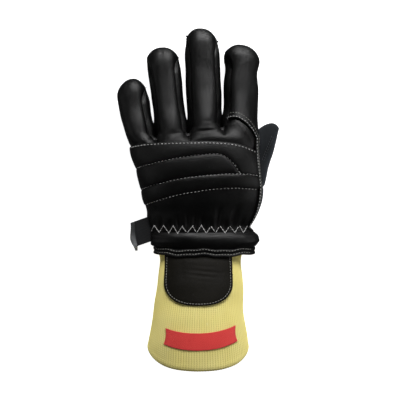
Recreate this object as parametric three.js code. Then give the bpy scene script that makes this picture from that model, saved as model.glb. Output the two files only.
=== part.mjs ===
// A structural firefighter's glove for the left hand, lying palm down on a flat surface.
// Millimetres. +Y runs to the fingertips, +X to the thumb, +Z up from the surface.
// The origin is on that surface, under the heel of the palm.
import * as THREE from "three";

// Walls, seams and clearances
const leatherWall = 2;
const overlayWall = 1.5;
const knitWall = 3;
const seamGap = 0.3;
const layClearance = 0.4;

// The hand, from the gathered wrist to the crotches of the fingers
const heelDistance = 29.5;
const handLength = 98.5;
const palmThickness = 42;
const sideSeamHeight = 10;
const thumbSeamHeight = 18;
const gatherDepth = 1.2;
const gatherCount = 7;
const padHeight = 1.8;

// The finger stalls
const fingerThickness = 27;
const upperSeamHeight = 21;
const lowerSeamHeight = 5;
const tipSeamHeight = 11;
const domeLength = 12;
const fourchetteInset = 3.6;
const palmInset = 1.2;
const crotchWidth = 2.2;
const shoulder = 0.75;

// The thumb stall
const thumbLength = 52;
const thumbBreadth = 28;
const thumbThickness = 16.5;
const thumbTurn = THREE.MathUtils.degToRad(17.5);
const thumbTipBulge = 9.5;
const thumbSplay = 3.5;
const thumbClearance = 5;

// The cuff, the knit wristlet and what is sewn to them
const cuffLength = 15;
const cuffBulge = 5.5;
const bindingWidth = 6.4;
const bindingThickness = 3;
const knitLength = 86;
const knitMouthBreadth = 94;
const knitMouthHeight = 62;
const knitTuck = 8;
const hemBow = 4;
const patchLength = 41;
const patchBreadth = 61;
const patchStart = 1;
const labelLength = 14;
const labelBreadth = 61;
const labelSetback = 14.5;
const tabWidth = 23.5;
const tabReach = 16;
const tabThickness = 7;
const tabTurn = THREE.MathUtils.degToRad(8);
const tabSplay = 2.6;
const tabRise = 13;
const tabLift = 5;
const webbingWall = 2;
const labelWall = 1;

// Facets
const stallFacets = 6;
const shoulderFacets = 3;
const gussetFacets = 3;
const domeFacets = 4;
const ringFacets = 32;

function table(names, rows) {
  const columns = names.split(" ");
  return rows.map((row) => Object.fromEntries(columns.map((name, i) => [name, row[i]])));
}

// Each stall's length runs from the crotch on its little finger side to the corners of its tip.
// The base rises are shares of the hand's length, the half widths shares of the stall's base width.
const fingers = [
  {
    baseWidth: 27.9, leftBase: 0.936, rightBase: 0.906, rise: 31, length: 43.3, tipBulge: 10.6,
    lean: -8.8, bow: -0.6, slant: 3.4, outerLeft: true, outerRight: false,
    widths: table("share half", [[0, 0.5], [0.13, 0.514], [0.35, 0.523], [0.8, 0.52], [1, 0.475]]),
  },
  {
    baseWidth: 28.9, leftBase: 0.906, rightBase: 0.943, rise: 36, length: 78.8, tipBulge: 8,
    lean: -9.85, bow: 0, slant: 1.2, outerLeft: false, outerRight: false,
    widths: table("share half", [
      [0, 0.5], [0.07, 0.52], [0.2, 0.535], [0.5, 0.517], [0.75, 0.549], [1, 0.517],
    ]),
  },
  {
    baseWidth: 29.5, leftBase: 0.943, rightBase: 1, rise: 37.5, length: 93.1, tipBulge: 8.3,
    lean: -3.3, bow: 0.5, slant: -1.4, outerLeft: false, outerRight: false,
    widths: table("share half", [[0, 0.5], [0.1, 0.54], [0.3, 0.57], [0.8, 0.572], [0.9, 0.55], [1, 0.49]]),
  },
  {
    baseWidth: 33.6, leftBase: 1, rightBase: 0.797, rise: 35, length: 72.5, tipBulge: 7.8,
    lean: 1.35, bow: 0.3, slant: 1.4, outerLeft: false, outerRight: true,
    widths: table("share half", [
      [0, 0.5], [0.1, 0.495], [0.35, 0.467], [0.62, 0.488], [0.78, 0.445], [0.9, 0.49], [1, 0.434],
    ]),
  },
];
const knuckleBreadth = fingers.reduce((sum, finger) => sum + finger.baseWidth + crotchWidth, -crotchWidth);

// The hand's sides as shares of the knuckle breadth, its height and side seams as shares of theirs
const handSections = table("share left right top rightSeam", [
  [0, -0.376, 0.371, 0.79, 0.6],
  [0.05, -0.381, 0.375, 0.8, 0.64],
  [0.1, -0.387, 0.395, 0.82, 0.7],
  [0.2, -0.402, 0.425, 0.88, 0.82],
  [0.3, -0.422, 0.443, 0.95, 0.92],
  [0.4, -0.437, 0.453, 0.985, 1.04],
  [0.52, -0.455, 0.458, 1, 1.14],
  [0.64, -0.478, 0.451, 1, 1.2],
  [0.76, -0.508, 0.443, 0.985, 1.22],
  [0.88, -0.531, 0.439, 0.95, 1.18],
  [1, -0.564, 0.436, 0.9, 1.05],
]);
const handRows = [0, 0.05, 0.1, 0.18, 0.27, 0.36, 0.44, 0.52, 0.64, 0.77, 0.89, 1];
const thumbCrotchRow = 7;
const thumbSplitFacet = 2;

// Lines of stitching over the back: share of the breadth, and of the hand's length above the wrist
const stitchLines = {
  top: table("share at", [[0, 0.79], [0.15, 0.802], [0.5, 0.809], [0.65, 0.808], [0.83, 0.787], [1, 0.722]]),
  lobe: table("share at", [
    [0, 0.6], [0.2, 0.638], [0.376, 0.678], [0.55, 0.706], [0.679, 0.709], [0.743, 0.659], [0.812, 0.534],
  ]),
  middle: table("share at", [
    [0, 0.395], [0.2, 0.454], [0.38, 0.497], [0.65, 0.531], [0.812, 0.534], [1, 0.519],
  ]),
  bottom: table("share at", [
    [0, 0.25], [0.152, 0.297], [0.342, 0.353], [0.584, 0.394], [0.76, 0.408], [1, 0.396],
  ]),
};
const lobeEnd = 0.795;
const bandStart = 0.035;

// The cuff's bulge, and the knit's section from its tucked end to its mouth
const cuffSections = table("share out", [[0, 0], [0.15, 0.5], [0.38, 0.95], [0.6, 1], [0.82, 0.8], [1, 0.5]]);
const knitSections = table("share left right top floor", [
  [0, -0.43, 0.44, 0.5, 1],
  [0.15, -0.42, 0.43, 0.505, 1],
  [0.205, -0.411, 0.422, 0.55, 0],
  [0.35, -0.42, 0.43, 0.67, 0],
  [0.55, -0.445, 0.435, 0.8, 0],
  [0.75, -0.475, 0.46, 0.92, 0],
  [0.92, -0.5, 0.488, 0.99, 0],
  [1, -0.505, 0.49, 1, 0],
]);
const patchRows = table("share half", [
  [0, 1], [0.25, 1.01], [0.5, 1.02], [0.72, 0.99], [0.86, 0.93], [1, 0.83],
]);
const patchBulge = 6.5;

const { clamp, lerp, smoothstep } = THREE.MathUtils;

// A smooth curve through one column of a table
function along(rows, column, share) {
  const last = rows.length - 1;
  let i = 0;
  while (i < last - 1 && share > rows[i + 1].share) i += 1;
  const [from, to] = [rows[i], rows[i + 1]];
  const [before, after] = [rows[Math.max(i - 1, 0)], rows[Math.min(i + 2, last)]];
  const span = to.share - from.share;
  const t = clamp((share - from.share) / span, 0, 1);
  const startSlope = ((to[column] - before[column]) / (to.share - before.share)) * span;
  const endSlope = ((after[column] - from[column]) / (after.share - from.share)) * span;
  const rest = 1 - t;
  return (
    from[column] * (1 + 2 * t) * rest * rest +
    startSlope * t * rest * rest +
    to[column] * t * t * (3 - 2 * t) -
    endSlope * t * t * rest
  );
}

// A superellipse arch: 1 at the middle, 0 at the sides
const archPower = 2.4;
const arch = (across, power = archPower) => Math.max(0, 1 - Math.abs(across) ** power) ** (1 / power);
const archPlace = (angle) => Math.sign(angle) * Math.abs(Math.sin(angle)) ** (2 / archPower);
const flatArch = (across) => Math.min(1, 1.9 * arch(across));
const tipArc = (across) => 1 - Math.abs(across) ** 2.3;
const steps = (count) => Array.from({ length: count + 1 }, (_, i) => i / count);

// Places across a stall, from its little finger side to its thumb side
const stallPlaces = steps(stallFacets).map((s) => archPlace((s - 0.5) * Math.PI));
const shoulderAngle = Math.asin(shoulder ** (archPower / 2));
const indexPlaces = [
  ...steps(stallFacets).map((s) => archPlace(lerp(-Math.PI / 2, shoulderAngle, s))),
  ...steps(shoulderFacets).slice(1).map((s) => archPlace(lerp(shoulderAngle, Math.PI / 2, s))),
];
const placesOf = (finger) => (finger.outerRight ? indexPlaces : stallPlaces);

// The front's columns are evenly spaced, and meet the back's own columns at the tip
function frontPlace(finger, column, row) {
  const places = placesOf(finger);
  const even = (2 * column) / (places.length - 1) - 1;
  return lerp(even, places[column], closing(finger, row));
}

// Rows along a stall: even down its body, and round over its tip
const bodyRows = [0, 0.1, 0.22, 0.38, 0.55, 0.72, 0.88];
const domeRows = steps(domeFacets).map((s) => Math.sin((s * Math.PI) / 2));
const domeStart = (finger) => 1 - domeLength / finger.length;
function rowsOf(finger) {
  const start = domeStart(finger);
  return [...bodyRows.map((row) => row * start), ...domeRows.map((row) => lerp(start, 1, row))];
}

const yOfShare = (share) => handLength * share - heelDistance;
const littleSide = handSections.at(-1).left;
let edge = littleSide * knuckleBreadth;
for (const finger of fingers) {
  finger.centre = edge + finger.baseWidth / 2;
  edge += finger.baseWidth + crotchWidth;
}

// How far along the hand a stall begins. The index stall's base curls down to its shoulder.
function baseShare(finger, across) {
  if (!finger.outerRight) return lerp(finger.leftBase, finger.rightBase, (across + 1) / 2);
  const curl = Math.min(1, (across + 1) / (1 + shoulder)) ** 3;
  return lerp(finger.leftBase, finger.rightBase, curl);
}

function stallPlan(finger, across, row, inset) {
  const half = along(finger.widths, "half", row) * finger.baseWidth - inset;
  const dome = clamp((row - domeStart(finger)) / (1 - domeStart(finger)), 0, 1);
  const x = finger.centre + finger.lean * row + finger.bow * Math.sin(Math.PI * row) + half * across;
  const corner = yOfShare(finger.leftBase) + finger.length + finger.slant * across;
  const y = lerp(yOfShare(baseShare(finger, across)), corner, row);
  return [x, y + finger.tipBulge * dome ** 1.4 * tipArc(across), dome];
}

const closing = (finger, row) =>
  clamp((row - domeStart(finger) + 0.1) / (domeRows.at(-2) * (1 - domeStart(finger)) + 0.1), 0, 1) ** 1.4;
const opening = (row) => smoothstep(row, 0, 0.2);
const isOuter = (finger, across) => (across < 0 ? finger.outerLeft : finger.outerRight);
const outerHeight = (finger) =>
  finger.outerLeft ? sideSeamHeight : thumbSeamHeight * handSections.at(-1).rightSeam;

// Height of the seam that a panel's edge lies on, and how far it stands in from the outline
function seamAt(finger, across, row, upper) {
  const close = closing(finger, row);
  const outer = isOuter(finger, across);
  const inner = upper ? upperSeamHeight : lowerSeamHeight;
  const settled = outer ? lerp(outerHeight(finger), tipSeamHeight, smoothstep(row, 0, 0.5)) : inner;
  const full = upper ? fourchetteInset : palmInset;
  const inset = outer ? 0 : full * opening(row) * (1 - close);
  return [lerp(settled, tipSeamHeight, close), inset];
}

// The back of a stall
function stallBack(finger, across, row) {
  const [seam, inset] = seamAt(finger, across, row, true);
  const [x, y, dome] = stallPlan(finger, across, row, inset);
  const top = lerp(finger.rise, fingerThickness, smoothstep(row, 0, 0.4));
  return [x, y, seam + (top - seam) * arch(across) * arch(dome, 2.2)];
}

// The front of a stall, flat where it lies on the surface
function stallFront(finger, across, row) {
  const [seam, inset] = seamAt(finger, across, row, false);
  const [x, y, dome] = stallPlan(finger, across, row, inset);
  const flat = seam * (1 - flatArch(across) * flatArch(dome));
  if (!finger.outerRight) return [x, y, flat];
  const lift = liftOverThumb(x, y, 1) * (1 - smoothstep(y, thumbTip - domeLength / 4, thumbTip + domeLength));
  return [x, y, Math.min(Math.max(flat, lift), seam)];
}

// A gusset between two stalls: down one side, round the crotch and up the next
function gussetSide(finger, side, row, drop) {
  const [high, highInset] = seamAt(finger, side, row, true);
  const [low, lowInset] = seamAt(finger, side, row, false);
  const belly = ((highInset + lowInset) / 2) * Math.sin(Math.PI * drop);
  const [x, y] = stallPlan(finger, side, row, lerp(highInset, lowInset, drop) - belly);
  return [x, y, lerp(high, low, drop)];
}

// Places across the hand carry on down from the stalls' own columns
function handPlace(finger, across) {
  const x = finger.centre + (finger.baseWidth / 2) * across;
  return x / knuckleBreadth - littleSide;
}

function handPlan(place, base, share) {
  const left = along(handSections, "left", share) * knuckleBreadth;
  const right = along(handSections, "right", share) * knuckleBreadth;
  return [lerp(left, right, place), lerp(-heelDistance, yOfShare(base), share)];
}

const seamRight = (share) => along(handSections, "rightSeam", share) * thumbSeamHeight;
const sideSeam = (span, share) => (span < 0 ? sideSeamHeight : seamRight(share));

// Puckers that the wrist's elastic draws into the leather
function gather(place, share) {
  const fade = 1 - smoothstep(share, 0.02, 0.26);
  const edgeFade = smoothstep(place, 0, 0.1) * (1 - smoothstep(place, 0.88, 1));
  return gatherDepth * fade * edgeFade * Math.cos(2 * Math.PI * gatherCount * place);
}

// The back of the hand: a broad arch at the wrist that breaks into the stalls' own arches
function handBack(finger, across, share) {
  const place = handPlace(finger, across);
  const base = baseShare(finger, across);
  const [x, y] = handPlan(place, base, share);
  const span = 2 * place - 1;
  const side = sideSeam(span, share);
  const top = along(handSections, "top", share) * palmThickness;
  const broad = side + (top - side) * arch(span, 2.6);
  const near = isOuter(finger, across) ? side : upperSeamHeight;
  const knuckle = near + (finger.rise - near) * arch(across);
  const blend = smoothstep(share, 0.87, 1);
  return [x, y, lerp(broad, knuckle, blend) + gather(place, share)];
}

// The thumb stall's middle line, and the arch of hand leather that passes over it
const thumbRootPlace = 0.3755;
const thumbRootShare = 0.46;
const thumbRootX = thumbRootPlace * knuckleBreadth;
const thumbRootY = yOfShare(thumbRootShare);
function thumbAxis(reach) {
  return [thumbRootX + reach * Math.sin(thumbTurn), thumbRootY + reach * Math.cos(thumbTurn)];
}
const thumbTip = thumbAxis(thumbLength + thumbTipBulge)[1];
function liftOverThumb(x, y, share) {
  const reach = (y - thumbRootY) / Math.cos(thumbTurn);
  const [middle] = thumbAxis(reach);
  const over = thumbBreadth / 2 + thumbClearance;
  const rise = x > middle ? 1 : arch((middle - x) / over);
  return seamRight(share) * rise;
}

// The palm, flat on the surface apart from where it passes over the thumb
function handFront(finger, across, share) {
  const place = handPlace(finger, across);
  const base = baseShare(finger, across);
  const [x, y] = handPlan(place, base, share);
  const span = 2 * place - 1;
  const near = isOuter(finger, across) ? sideSeam(span, share) : lowerSeamHeight;
  const knuckle = near * (1 - flatArch(across));
  const blend = smoothstep(share, 0.8, 1);
  const broad = span < 0 ? sideSeamHeight * (1 - flatArch(span)) : 0;
  const lifted = share > handRows[thumbCrotchRow] - 1e-6 ? liftOverThumb(x, y, share) : 0;
  return [x, y, lerp(Math.max(broad, lifted), Math.max(knuckle, lifted), blend)];
}

// Below its crotch the thumb's leather wraps the heel of the hand, from the side seam to the palm
const heelSides = table("share height out", [[0, 1, 0], [0.33, 0.66, 0.9], [0.67, 0.28, 0.85], [1, 0, -0.4]]);
const index = fingers.at(-1);
const splitPlace = frontPlace(index, thumbSplitFacet, 0);
const wrapFacets = indexPlaces.length - 1 - thumbSplitFacet;
function thumbWrap(step, share) {
  const [seamX, seamY, seamZ] = handFront(index, 1, share);
  const [splitX, splitY] = handFront(index, splitPlace, share);
  const out = thumbSplay * smoothstep(share, 0, 0.4);
  const z = step <= shoulderFacets ? heelSides[step].height * seamRight(share) : 0;
  if (step === 0) return [seamX, seamY, Math.max(z, seamZ)];
  if (step <= shoulderFacets) return [seamX + heelSides[step].out * out, seamY, z];
  const foot = seamX + heelSides[shoulderFacets].out * out;
  const floor = (step - shoulderFacets) / (wrapFacets - shoulderFacets);
  return [lerp(foot, splitX, floor), lerp(seamY, splitY, floor), 0];
}

function thumbRing(side, step, row) {
  const crotchShare = handRows[thumbCrotchRow];
  const root = side > 0
    ? handFront(index, frontPlace(index, thumbSplitFacet + step, 0), crotchShare)
    : thumbWrap(step, crotchShare);
  if (row === 0) return root;
  const angle = (step / wrapFacets - 0.5) * Math.PI * side;
  const across = archPlace(angle);
  const start = 1 - domeLength / thumbLength;
  const dome = clamp((row - start) / (1 - start), 0, 1);
  const close = smoothstep(row, start - 0.1, 1);
  const seam = lerp(lowerSeamHeight, tipSeamHeight * 0.8, close);
  const half = (thumbBreadth / 2) * (1 - 0.12 * close) * lerp(1.12, 1, smoothstep(row, 0, 0.4));
  const [axisX, axisY] = thumbAxis(row * thumbLength);
  const ahead = thumbTipBulge * dome ** 1.4 * tipArc(across);
  const x = axisX + half * across * Math.cos(thumbTurn) + ahead * Math.sin(thumbTurn);
  const y = axisY - half * across * Math.sin(thumbTurn) + ahead * Math.cos(thumbTurn);
  const upper = seam + (thumbThickness - seam) * arch(across) * arch(dome, 2.2);
  const lower = seam * (1 - flatArch(across) * flatArch(dome));
  const ring = [x, y, side > 0 ? upper : lower];
  const settle = smoothstep(row, 0, 0.08);
  return ring.map((value, axis) => lerp(root[axis], value, settle));
}

// One surface for the whole leather skin. Panels that meet share its points.
const skin = { points: [], cells: new Map(), panels: new Map() };
const cellSize = 0.05;
function weld(point) {
  const cell = point.map((value) => Math.round(value / cellSize));
  for (let dx = -1; dx <= 1; dx += 1)
    for (let dy = -1; dy <= 1; dy += 1)
      for (let dz = -1; dz <= 1; dz += 1) {
        const found = skin.cells.get([cell[0] + dx, cell[1] + dy, cell[2] + dz].join());
        if (found !== undefined) return found;
      }
  skin.points.push(new THREE.Vector3(...point));
  skin.cells.set(cell.join(), skin.points.length - 1);
  return skin.points.length - 1;
}

// A grid of points becomes triangles of one panel, facing out
function addPatch(panel, grid, flip = false) {
  const faces = skin.panels.get(panel) ?? [];
  skin.panels.set(panel, faces);
  const ids = grid.map((row) => row.map(weld));
  for (let i = 0; i + 1 < ids.length; i += 1)
    for (let j = 0; j + 1 < ids[i].length; j += 1) {
      const [a, b, c, d] = [ids[i][j], ids[i][j + 1], ids[i + 1][j + 1], ids[i + 1][j]];
      for (const face of [[a, b, c], [a, c, d]]) {
        if (new Set(face).size < 3) continue;
        faces.push(flip ? face.toReversed() : face);
      }
    }
}

const gridOf = (rows, columns, surface) => rows.map((row) => columns.map((column) => surface(row, column)));
const upTo = (list, count) => list.slice(0, count + 1);

fingers.forEach((finger, i) => {
  const rows = rowsOf(finger);
  const places = placesOf(finger);
  const back = (row, across) => stallBack(finger, across, row);
  const front = (row, column) => stallFront(finger, frontPlace(finger, column, row), row);
  const hand = (row, across) => handBack(finger, across, row);
  const palm = (row, column) => handFront(finger, frontPlace(finger, column, 0), row);
  const columns = places.map((_, column) => column);
  if (finger.outerRight) {
    const [body, side] = [upTo(places, stallFacets), places.slice(stallFacets)];
    addPatch("back_panel", gridOf(handRows, body, hand));
    addPatch("back_panel", gridOf(rows.slice(0, 2), body, back));
    addPatch("index_back", gridOf(rows.slice(1), body, back));
    addPatch("index_back", gridOf(rows, side, back));
    addPatch("index_back", gridOf(handRows, side, hand));
    const heelRows = upTo(handRows, thumbCrotchRow);
    addPatch("palm_panel", gridOf(heelRows, upTo(columns, thumbSplitFacet), palm), true);
    addPatch("palm_panel", gridOf(handRows.slice(thumbCrotchRow), columns, palm), true);
  } else {
    addPatch("back_panel", gridOf(handRows, places, hand));
    addPatch("back_panel", gridOf(rows, places, back));
    addPatch("palm_panel", gridOf(handRows, columns, palm), true);
  }
  addPatch("palm_panel", gridOf(rows, columns, front), true);
  if (i === 0) return;
  const before = fingers[i - 1];
  const drops = steps(gussetFacets);
  const name = `fourchette_${i}`;
  addPatch(name, gridOf(rowsOf(before), drops, (row, drop) => gussetSide(before, 1, row, drop)));
  addPatch(name, gridOf(rows, drops, (row, drop) => gussetSide(finger, -1, row, drop)), true);
  const pair = [[before, 1], [finger, -1]];
  addPatch(name, gridOf(pair, drops, ([stall, side], drop) => gussetSide(stall, side, 0, drop)), true);
  addPatch("back_panel", gridOf(handRows, pair, (row, [stall, side]) => handBack(stall, side, row)));
  addPatch("palm_panel", gridOf(handRows, pair, (row, [stall, side]) => handFront(stall, side, row)), true);
});

const wrapSteps = steps(wrapFacets).map((s) => Math.round(s * wrapFacets));
const thumbRows = [...bodyRows.map((row) => row * (1 - domeLength / thumbLength)),
  ...domeRows.map((row) => lerp(1 - domeLength / thumbLength, 1, row))];
addPatch("thumb", gridOf(upTo(handRows, thumbCrotchRow), wrapSteps, (share, step) => thumbWrap(step, share)));
addPatch("thumb", gridOf(thumbRows, wrapSteps, (row, step) => thumbRing(-1, step, row)));
addPatch("thumb", gridOf(thumbRows, wrapSteps, (row, step) => thumbRing(1, step, row)));

// Outward directions, shared by the panels so that their walls meet in a mitre
function normalsOf(points, faces) {
  const normals = points.map(() => new THREE.Vector3());
  for (const [a, b, c] of faces) {
    const normal = new THREE.Vector3()
      .crossVectors(points[b].clone().sub(points[a]), points[c].clone().sub(points[a]));
    if (normal.lengthSq() < 1e-12) continue;
    normal.normalize();
    for (const [p, q, r] of [[a, b, c], [b, c, a], [c, a, b]]) {
      const angle = points[q].clone().sub(points[p]).angleTo(points[r].clone().sub(points[p]));
      normals[p].addScaledVector(normal, angle);
    }
  }
  return normals.map((normal) => normal.normalize());
}

// A closed wall from a sheet: its outer face, its inner face and the cut edge between them.
// Panels on both sides of a seam split the cut edge's quads along the same diagonal.
function wallGeometry(points, normals, faces, wall, pull) {
  const edges = new Map();
  for (const [a, b, c] of faces)
    for (const [p, q] of [[a, b], [b, c], [c, a]]) {
      if (edges.has(`${q},${p}`)) edges.delete(`${q},${p}`);
      else edges.set(`${p},${q}`, [p, q, a, b, c]);
    }
  const pulls = new Map();
  for (const [p, q, a, b, c] of edges.values()) {
    const normal = new THREE.Vector3()
      .crossVectors(points[b].clone().sub(points[a]), points[c].clone().sub(points[a])).normalize();
    const inward = normal.cross(points[q].clone().sub(points[p])).normalize();
    for (const id of [p, q]) {
      const sum = pulls.get(id) ?? new THREE.Vector3();
      pulls.set(id, sum.add(inward));
    }
  }
  const used = [...new Set(faces.flat())];
  const places = new Map(used.map((id, k) => [id, k]));
  const outer = used.map((id) => {
    const point = points[id].clone();
    const sum = pulls.get(id);
    if (!sum) return point;
    const reach = sum.length();
    return point.addScaledVector(sum.normalize(), pull * clamp(2 / reach, 1, 5));
  });
  const inner = used.map((id, k) => outer[k].clone().addScaledVector(normals[id], -wall));
  const count = used.length;
  const triangles = [];
  for (const [a, b, c] of faces) {
    const [p, q, r] = [places.get(a), places.get(b), places.get(c)];
    triangles.push([p, q, r], [r + count, q + count, p + count]);
  }
  for (const [p, q] of edges.values()) {
    const [s, e] = [places.get(p), places.get(q)];
    if (p < q) triangles.push([e, s, e + count], [s, s + count, e + count]);
    else triangles.push([e, s, s + count], [e, s + count, e + count]);
  }
  return geometryOf([...outer, ...inner], triangles);
}

function geometryOf(points, triangles) {
  const geometry = new THREE.BufferGeometry();
  geometry.setAttribute("position", new THREE.Float32BufferAttribute(points.flatMap((p) => p.toArray()), 3));
  geometry.setIndex(triangles.flat());
  geometry.computeVertexNormals();
  return geometry;
}

const black = { color: 0x17181a, roughness: 0.42, metalness: 0 };
const materials = {
  leather: new THREE.MeshStandardMaterial(black),
  suede: new THREE.MeshStandardMaterial({ color: 0x1d2025, roughness: 0.9, metalness: 0 }),
  knit: new THREE.MeshStandardMaterial({ color: 0xcfc57e, roughness: 0.95, metalness: 0 }),
  label: new THREE.MeshStandardMaterial({ color: 0xd23a3a, roughness: 0.7, metalness: 0 }),
  webbing: new THREE.MeshStandardMaterial({ color: 0x202226, roughness: 0.8, metalness: 0 }),
};

const glove = new THREE.Group();
glove.name = "firefighter_glove";
function addPiece(name, geometry, material) {
  const mesh = new THREE.Mesh(geometry, material);
  mesh.name = name;
  glove.add(mesh);
  return mesh;
}

// How far a panel's edge draws back from its seams, more where a crotch folds tightly
const edgePull = { thumb: 2.8 * seamGap, palm_panel: 0.6 * seamGap };
const allFaces = [...skin.panels.values()].flat();
const skinNormals = normalsOf(skin.points, allFaces);
for (const [name, faces] of skin.panels) {
  const wall = wallGeometry(skin.points, skinNormals, faces, leatherWall, edgePull[name] ?? seamGap / 2);
  addPiece(name, wall, name === "palm_panel" || name === "thumb" ? materials.suede : materials.leather);
}

// A grid of points and their outward directions, as one sheet of its own
function sheetGeometry(grid, wall, pull, closed = false) {
  const points = grid.flat().map((point) => new THREE.Vector3(...point));
  const width = grid[0].length;
  const faces = [];
  for (let i = 0; i + 1 < grid.length; i += 1)
    for (let j = 0; j < (closed ? width : width - 1); j += 1) {
      const next = (j + 1) % width;
      const [a, b, c, d] = [i * width + j, i * width + next, (i + 1) * width + next, (i + 1) * width + j];
      faces.push([a, b, c], [a, c, d]);
    }
  return wallGeometry(points, normalsOf(points, faces), faces, wall, pull);
}

// The same grid, lifted off what it lies on
function lifted(surface, columns, rows, height) {
  const step = 1e-3;
  return rows.map((row) =>
    columns.map((column) => {
      const point = new THREE.Vector3(...surface(column, row));
      const across = new THREE.Vector3(...surface(column + step, row)).sub(point);
      const ahead = new THREE.Vector3(...surface(column, row + step)).sub(point);
      return point.addScaledVector(across.cross(ahead).normalize(), height(column, row)).toArray();
    }));
}

// The back of the hand at any share of its breadth and any distance up from the wrist
function handBackAt(place, at) {
  const x = (place + littleSide) * knuckleBreadth;
  const near = fingers.findIndex((finger) => x <= finger.centre + finger.baseWidth / 2 + crotchWidth / 2);
  const finger = fingers[near < 0 ? fingers.length - 1 : near];
  const across = (x - finger.centre) / (finger.baseWidth / 2);
  const share = at / baseShare(finger, across);
  return handBack(finger, clamp(across, -1, 1), share).map((value, axis) =>
    axis ? value : handPlan(place, baseShare(finger, across), share)[0]);
}

const bandFacets = 18;
const bandCrossFacets = 3;
function addBand(name, lower, upper, from, to) {
  const surface = (place, row) => handBackAt(place, lerp(lower(place), upper(place), row));
  const places = steps(bandFacets).map((s) => lerp(from, to, s ** 1.4));
  const crown = (place, row) => Math.sqrt(Math.max(0, 4 * row * (1 - row)));
  const height = (place, row) => layClearance + overlayWall + (padHeight - overlayWall) * crown(place, row);
  const grid = lifted(surface, places, steps(bandCrossFacets), height);
  addPiece(name, sheetGeometry(grid, overlayWall, 1.2 * seamGap), materials.leather);
}
const lineAt = (line) => (place) => along(stitchLines[line], "at", place);
const bandEnd = handPlace(index, shoulder) - 0.006;
const underBand = (place) => (place < lobeEnd + 0.017 ? lineAt("lobe")(place) : lineAt("middle")(place));
addBand("knuckle_band", underBand, lineAt("top"), bandStart, bandEnd);
addBand("knuckle_lobe", lineAt("middle"), lineAt("lobe"), bandStart, lobeEnd);
addBand("wrist_band", lineAt("bottom"), lineAt("middle"), bandStart, bandEnd);

// A ring round the wrist: an arch above its sides, and flat below them
function ringPoint({ left, right, top, side, floor, rest }, turn, y) {
  const upper = turn < 0.5;
  const across = archPlace((upper ? 2 * turn - 0.5 : 1.5 - 2 * turn) * Math.PI);
  const x = lerp(left, right, (across + 1) / 2);
  const below = floor + (side - floor) * (1 - Math.min(1, rest * arch(across)));
  return [x, y, upper ? side + (top - side) * arch(across, 2.6) : below];
}
const ringTurns = steps(ringFacets).slice(0, -1);

const wrist = handSections[0];
const cuffTop = -heelDistance - seamGap;
function cuffPoint(turn, share) {
  const out = along(cuffSections, "out", share) * cuffBulge;
  const section = {
    left: wrist.left * knuckleBreadth + 0.1 * out,
    right: wrist.right * knuckleBreadth + out,
    top: wrist.top * palmThickness + 0.6 * out,
    side: sideSeamHeight + 0.3 * out,
    floor: 0,
    rest: 1.5,
  };
  return ringPoint(section, turn, cuffTop - share * cuffLength);
}
const cuffGrid = cuffSections.map(({ share }) => ringTurns.map((turn) => cuffPoint(turn, share)));
addPiece("cuff_band", sheetGeometry(cuffGrid.toReversed(), leatherWall, 0, true), materials.leather);

// The binding folded round the cuff's hem
const bindingTop = cuffTop - cuffLength - seamGap;
const bindingProfile = table("along out", [[0, -0.8], [0, 0], [0.15, 0.2], [0.85, 0.2], [1, 0], [1, -0.8]]);
function bindingGeometry() {
  const hem = ringTurns.map((turn) => cuffPoint(turn, 1));
  const points = [];
  const triangles = [];
  const sides = bindingProfile.length;
  hem.forEach(([x, , z], i) => {
    const before = hem.at(i - 1);
    const after = hem[(i + 1) % hem.length];
    const outward = new THREE.Vector3(before[2] - after[2], 0, after[0] - before[0]).normalize();
    for (const { along: run, out } of bindingProfile) {
      const point = new THREE.Vector3(x, bindingTop - run * bindingWidth, z);
      point.addScaledVector(outward, out * bindingThickness);
      points.push(point.setZ(Math.max(point.z, 0)));
    }
    for (let k = 0; k < sides; k += 1) {
      const [a, b] = [i * sides + k, i * sides + ((k + 1) % sides)];
      const [c, d] = [((i + 1) % hem.length) * sides + ((k + 1) % sides), ((i + 1) % hem.length) * sides + k];
      triangles.push([a, b, c], [a, c, d]);
    }
  });
  return geometryOf(points, triangles);
}
addPiece("cuff_binding", bindingGeometry(), materials.leather);

// The knit wristlet, tucked up inside the cuff and open at its mouth
const knitTop = cuffTop - cuffLength + knitTuck;
const knitRun = knitTuck + seamGap + bindingWidth + knitLength;
const knitInside = 0.8 * bindingThickness + layClearance;
function knitPoint(turn, share) {
  const read = (column) => along(knitSections, column, share);
  const top = read("top") * knitMouthHeight;
  const section = {
    left: read("left") * knitMouthBreadth,
    right: read("right") * knitMouthBreadth,
    top,
    side: lerp(sideSeamHeight + knitInside, 0.45 * top, smoothstep(share, 0.1, 0.4)),
    floor: knitInside * Math.max(0, read("floor")),
    rest: 1.12,
  };
  const [x, y, z] = ringPoint(section, turn, knitTop - share * knitRun);
  return [x, y - (hemBow * share ** 3 * z) / knitMouthHeight, z];
}
const knitRows = [0, 0.15, 0.205, 0.27, 0.36, 0.48, 0.62, 0.76, 0.9, 1];
const knitGrid = knitRows.toReversed().map((share) => ringTurns.map((turn) => knitPoint(turn, share)));
addPiece("knit_wristlet", sheetGeometry(knitGrid, knitWall, 0, true), materials.knit);

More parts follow.
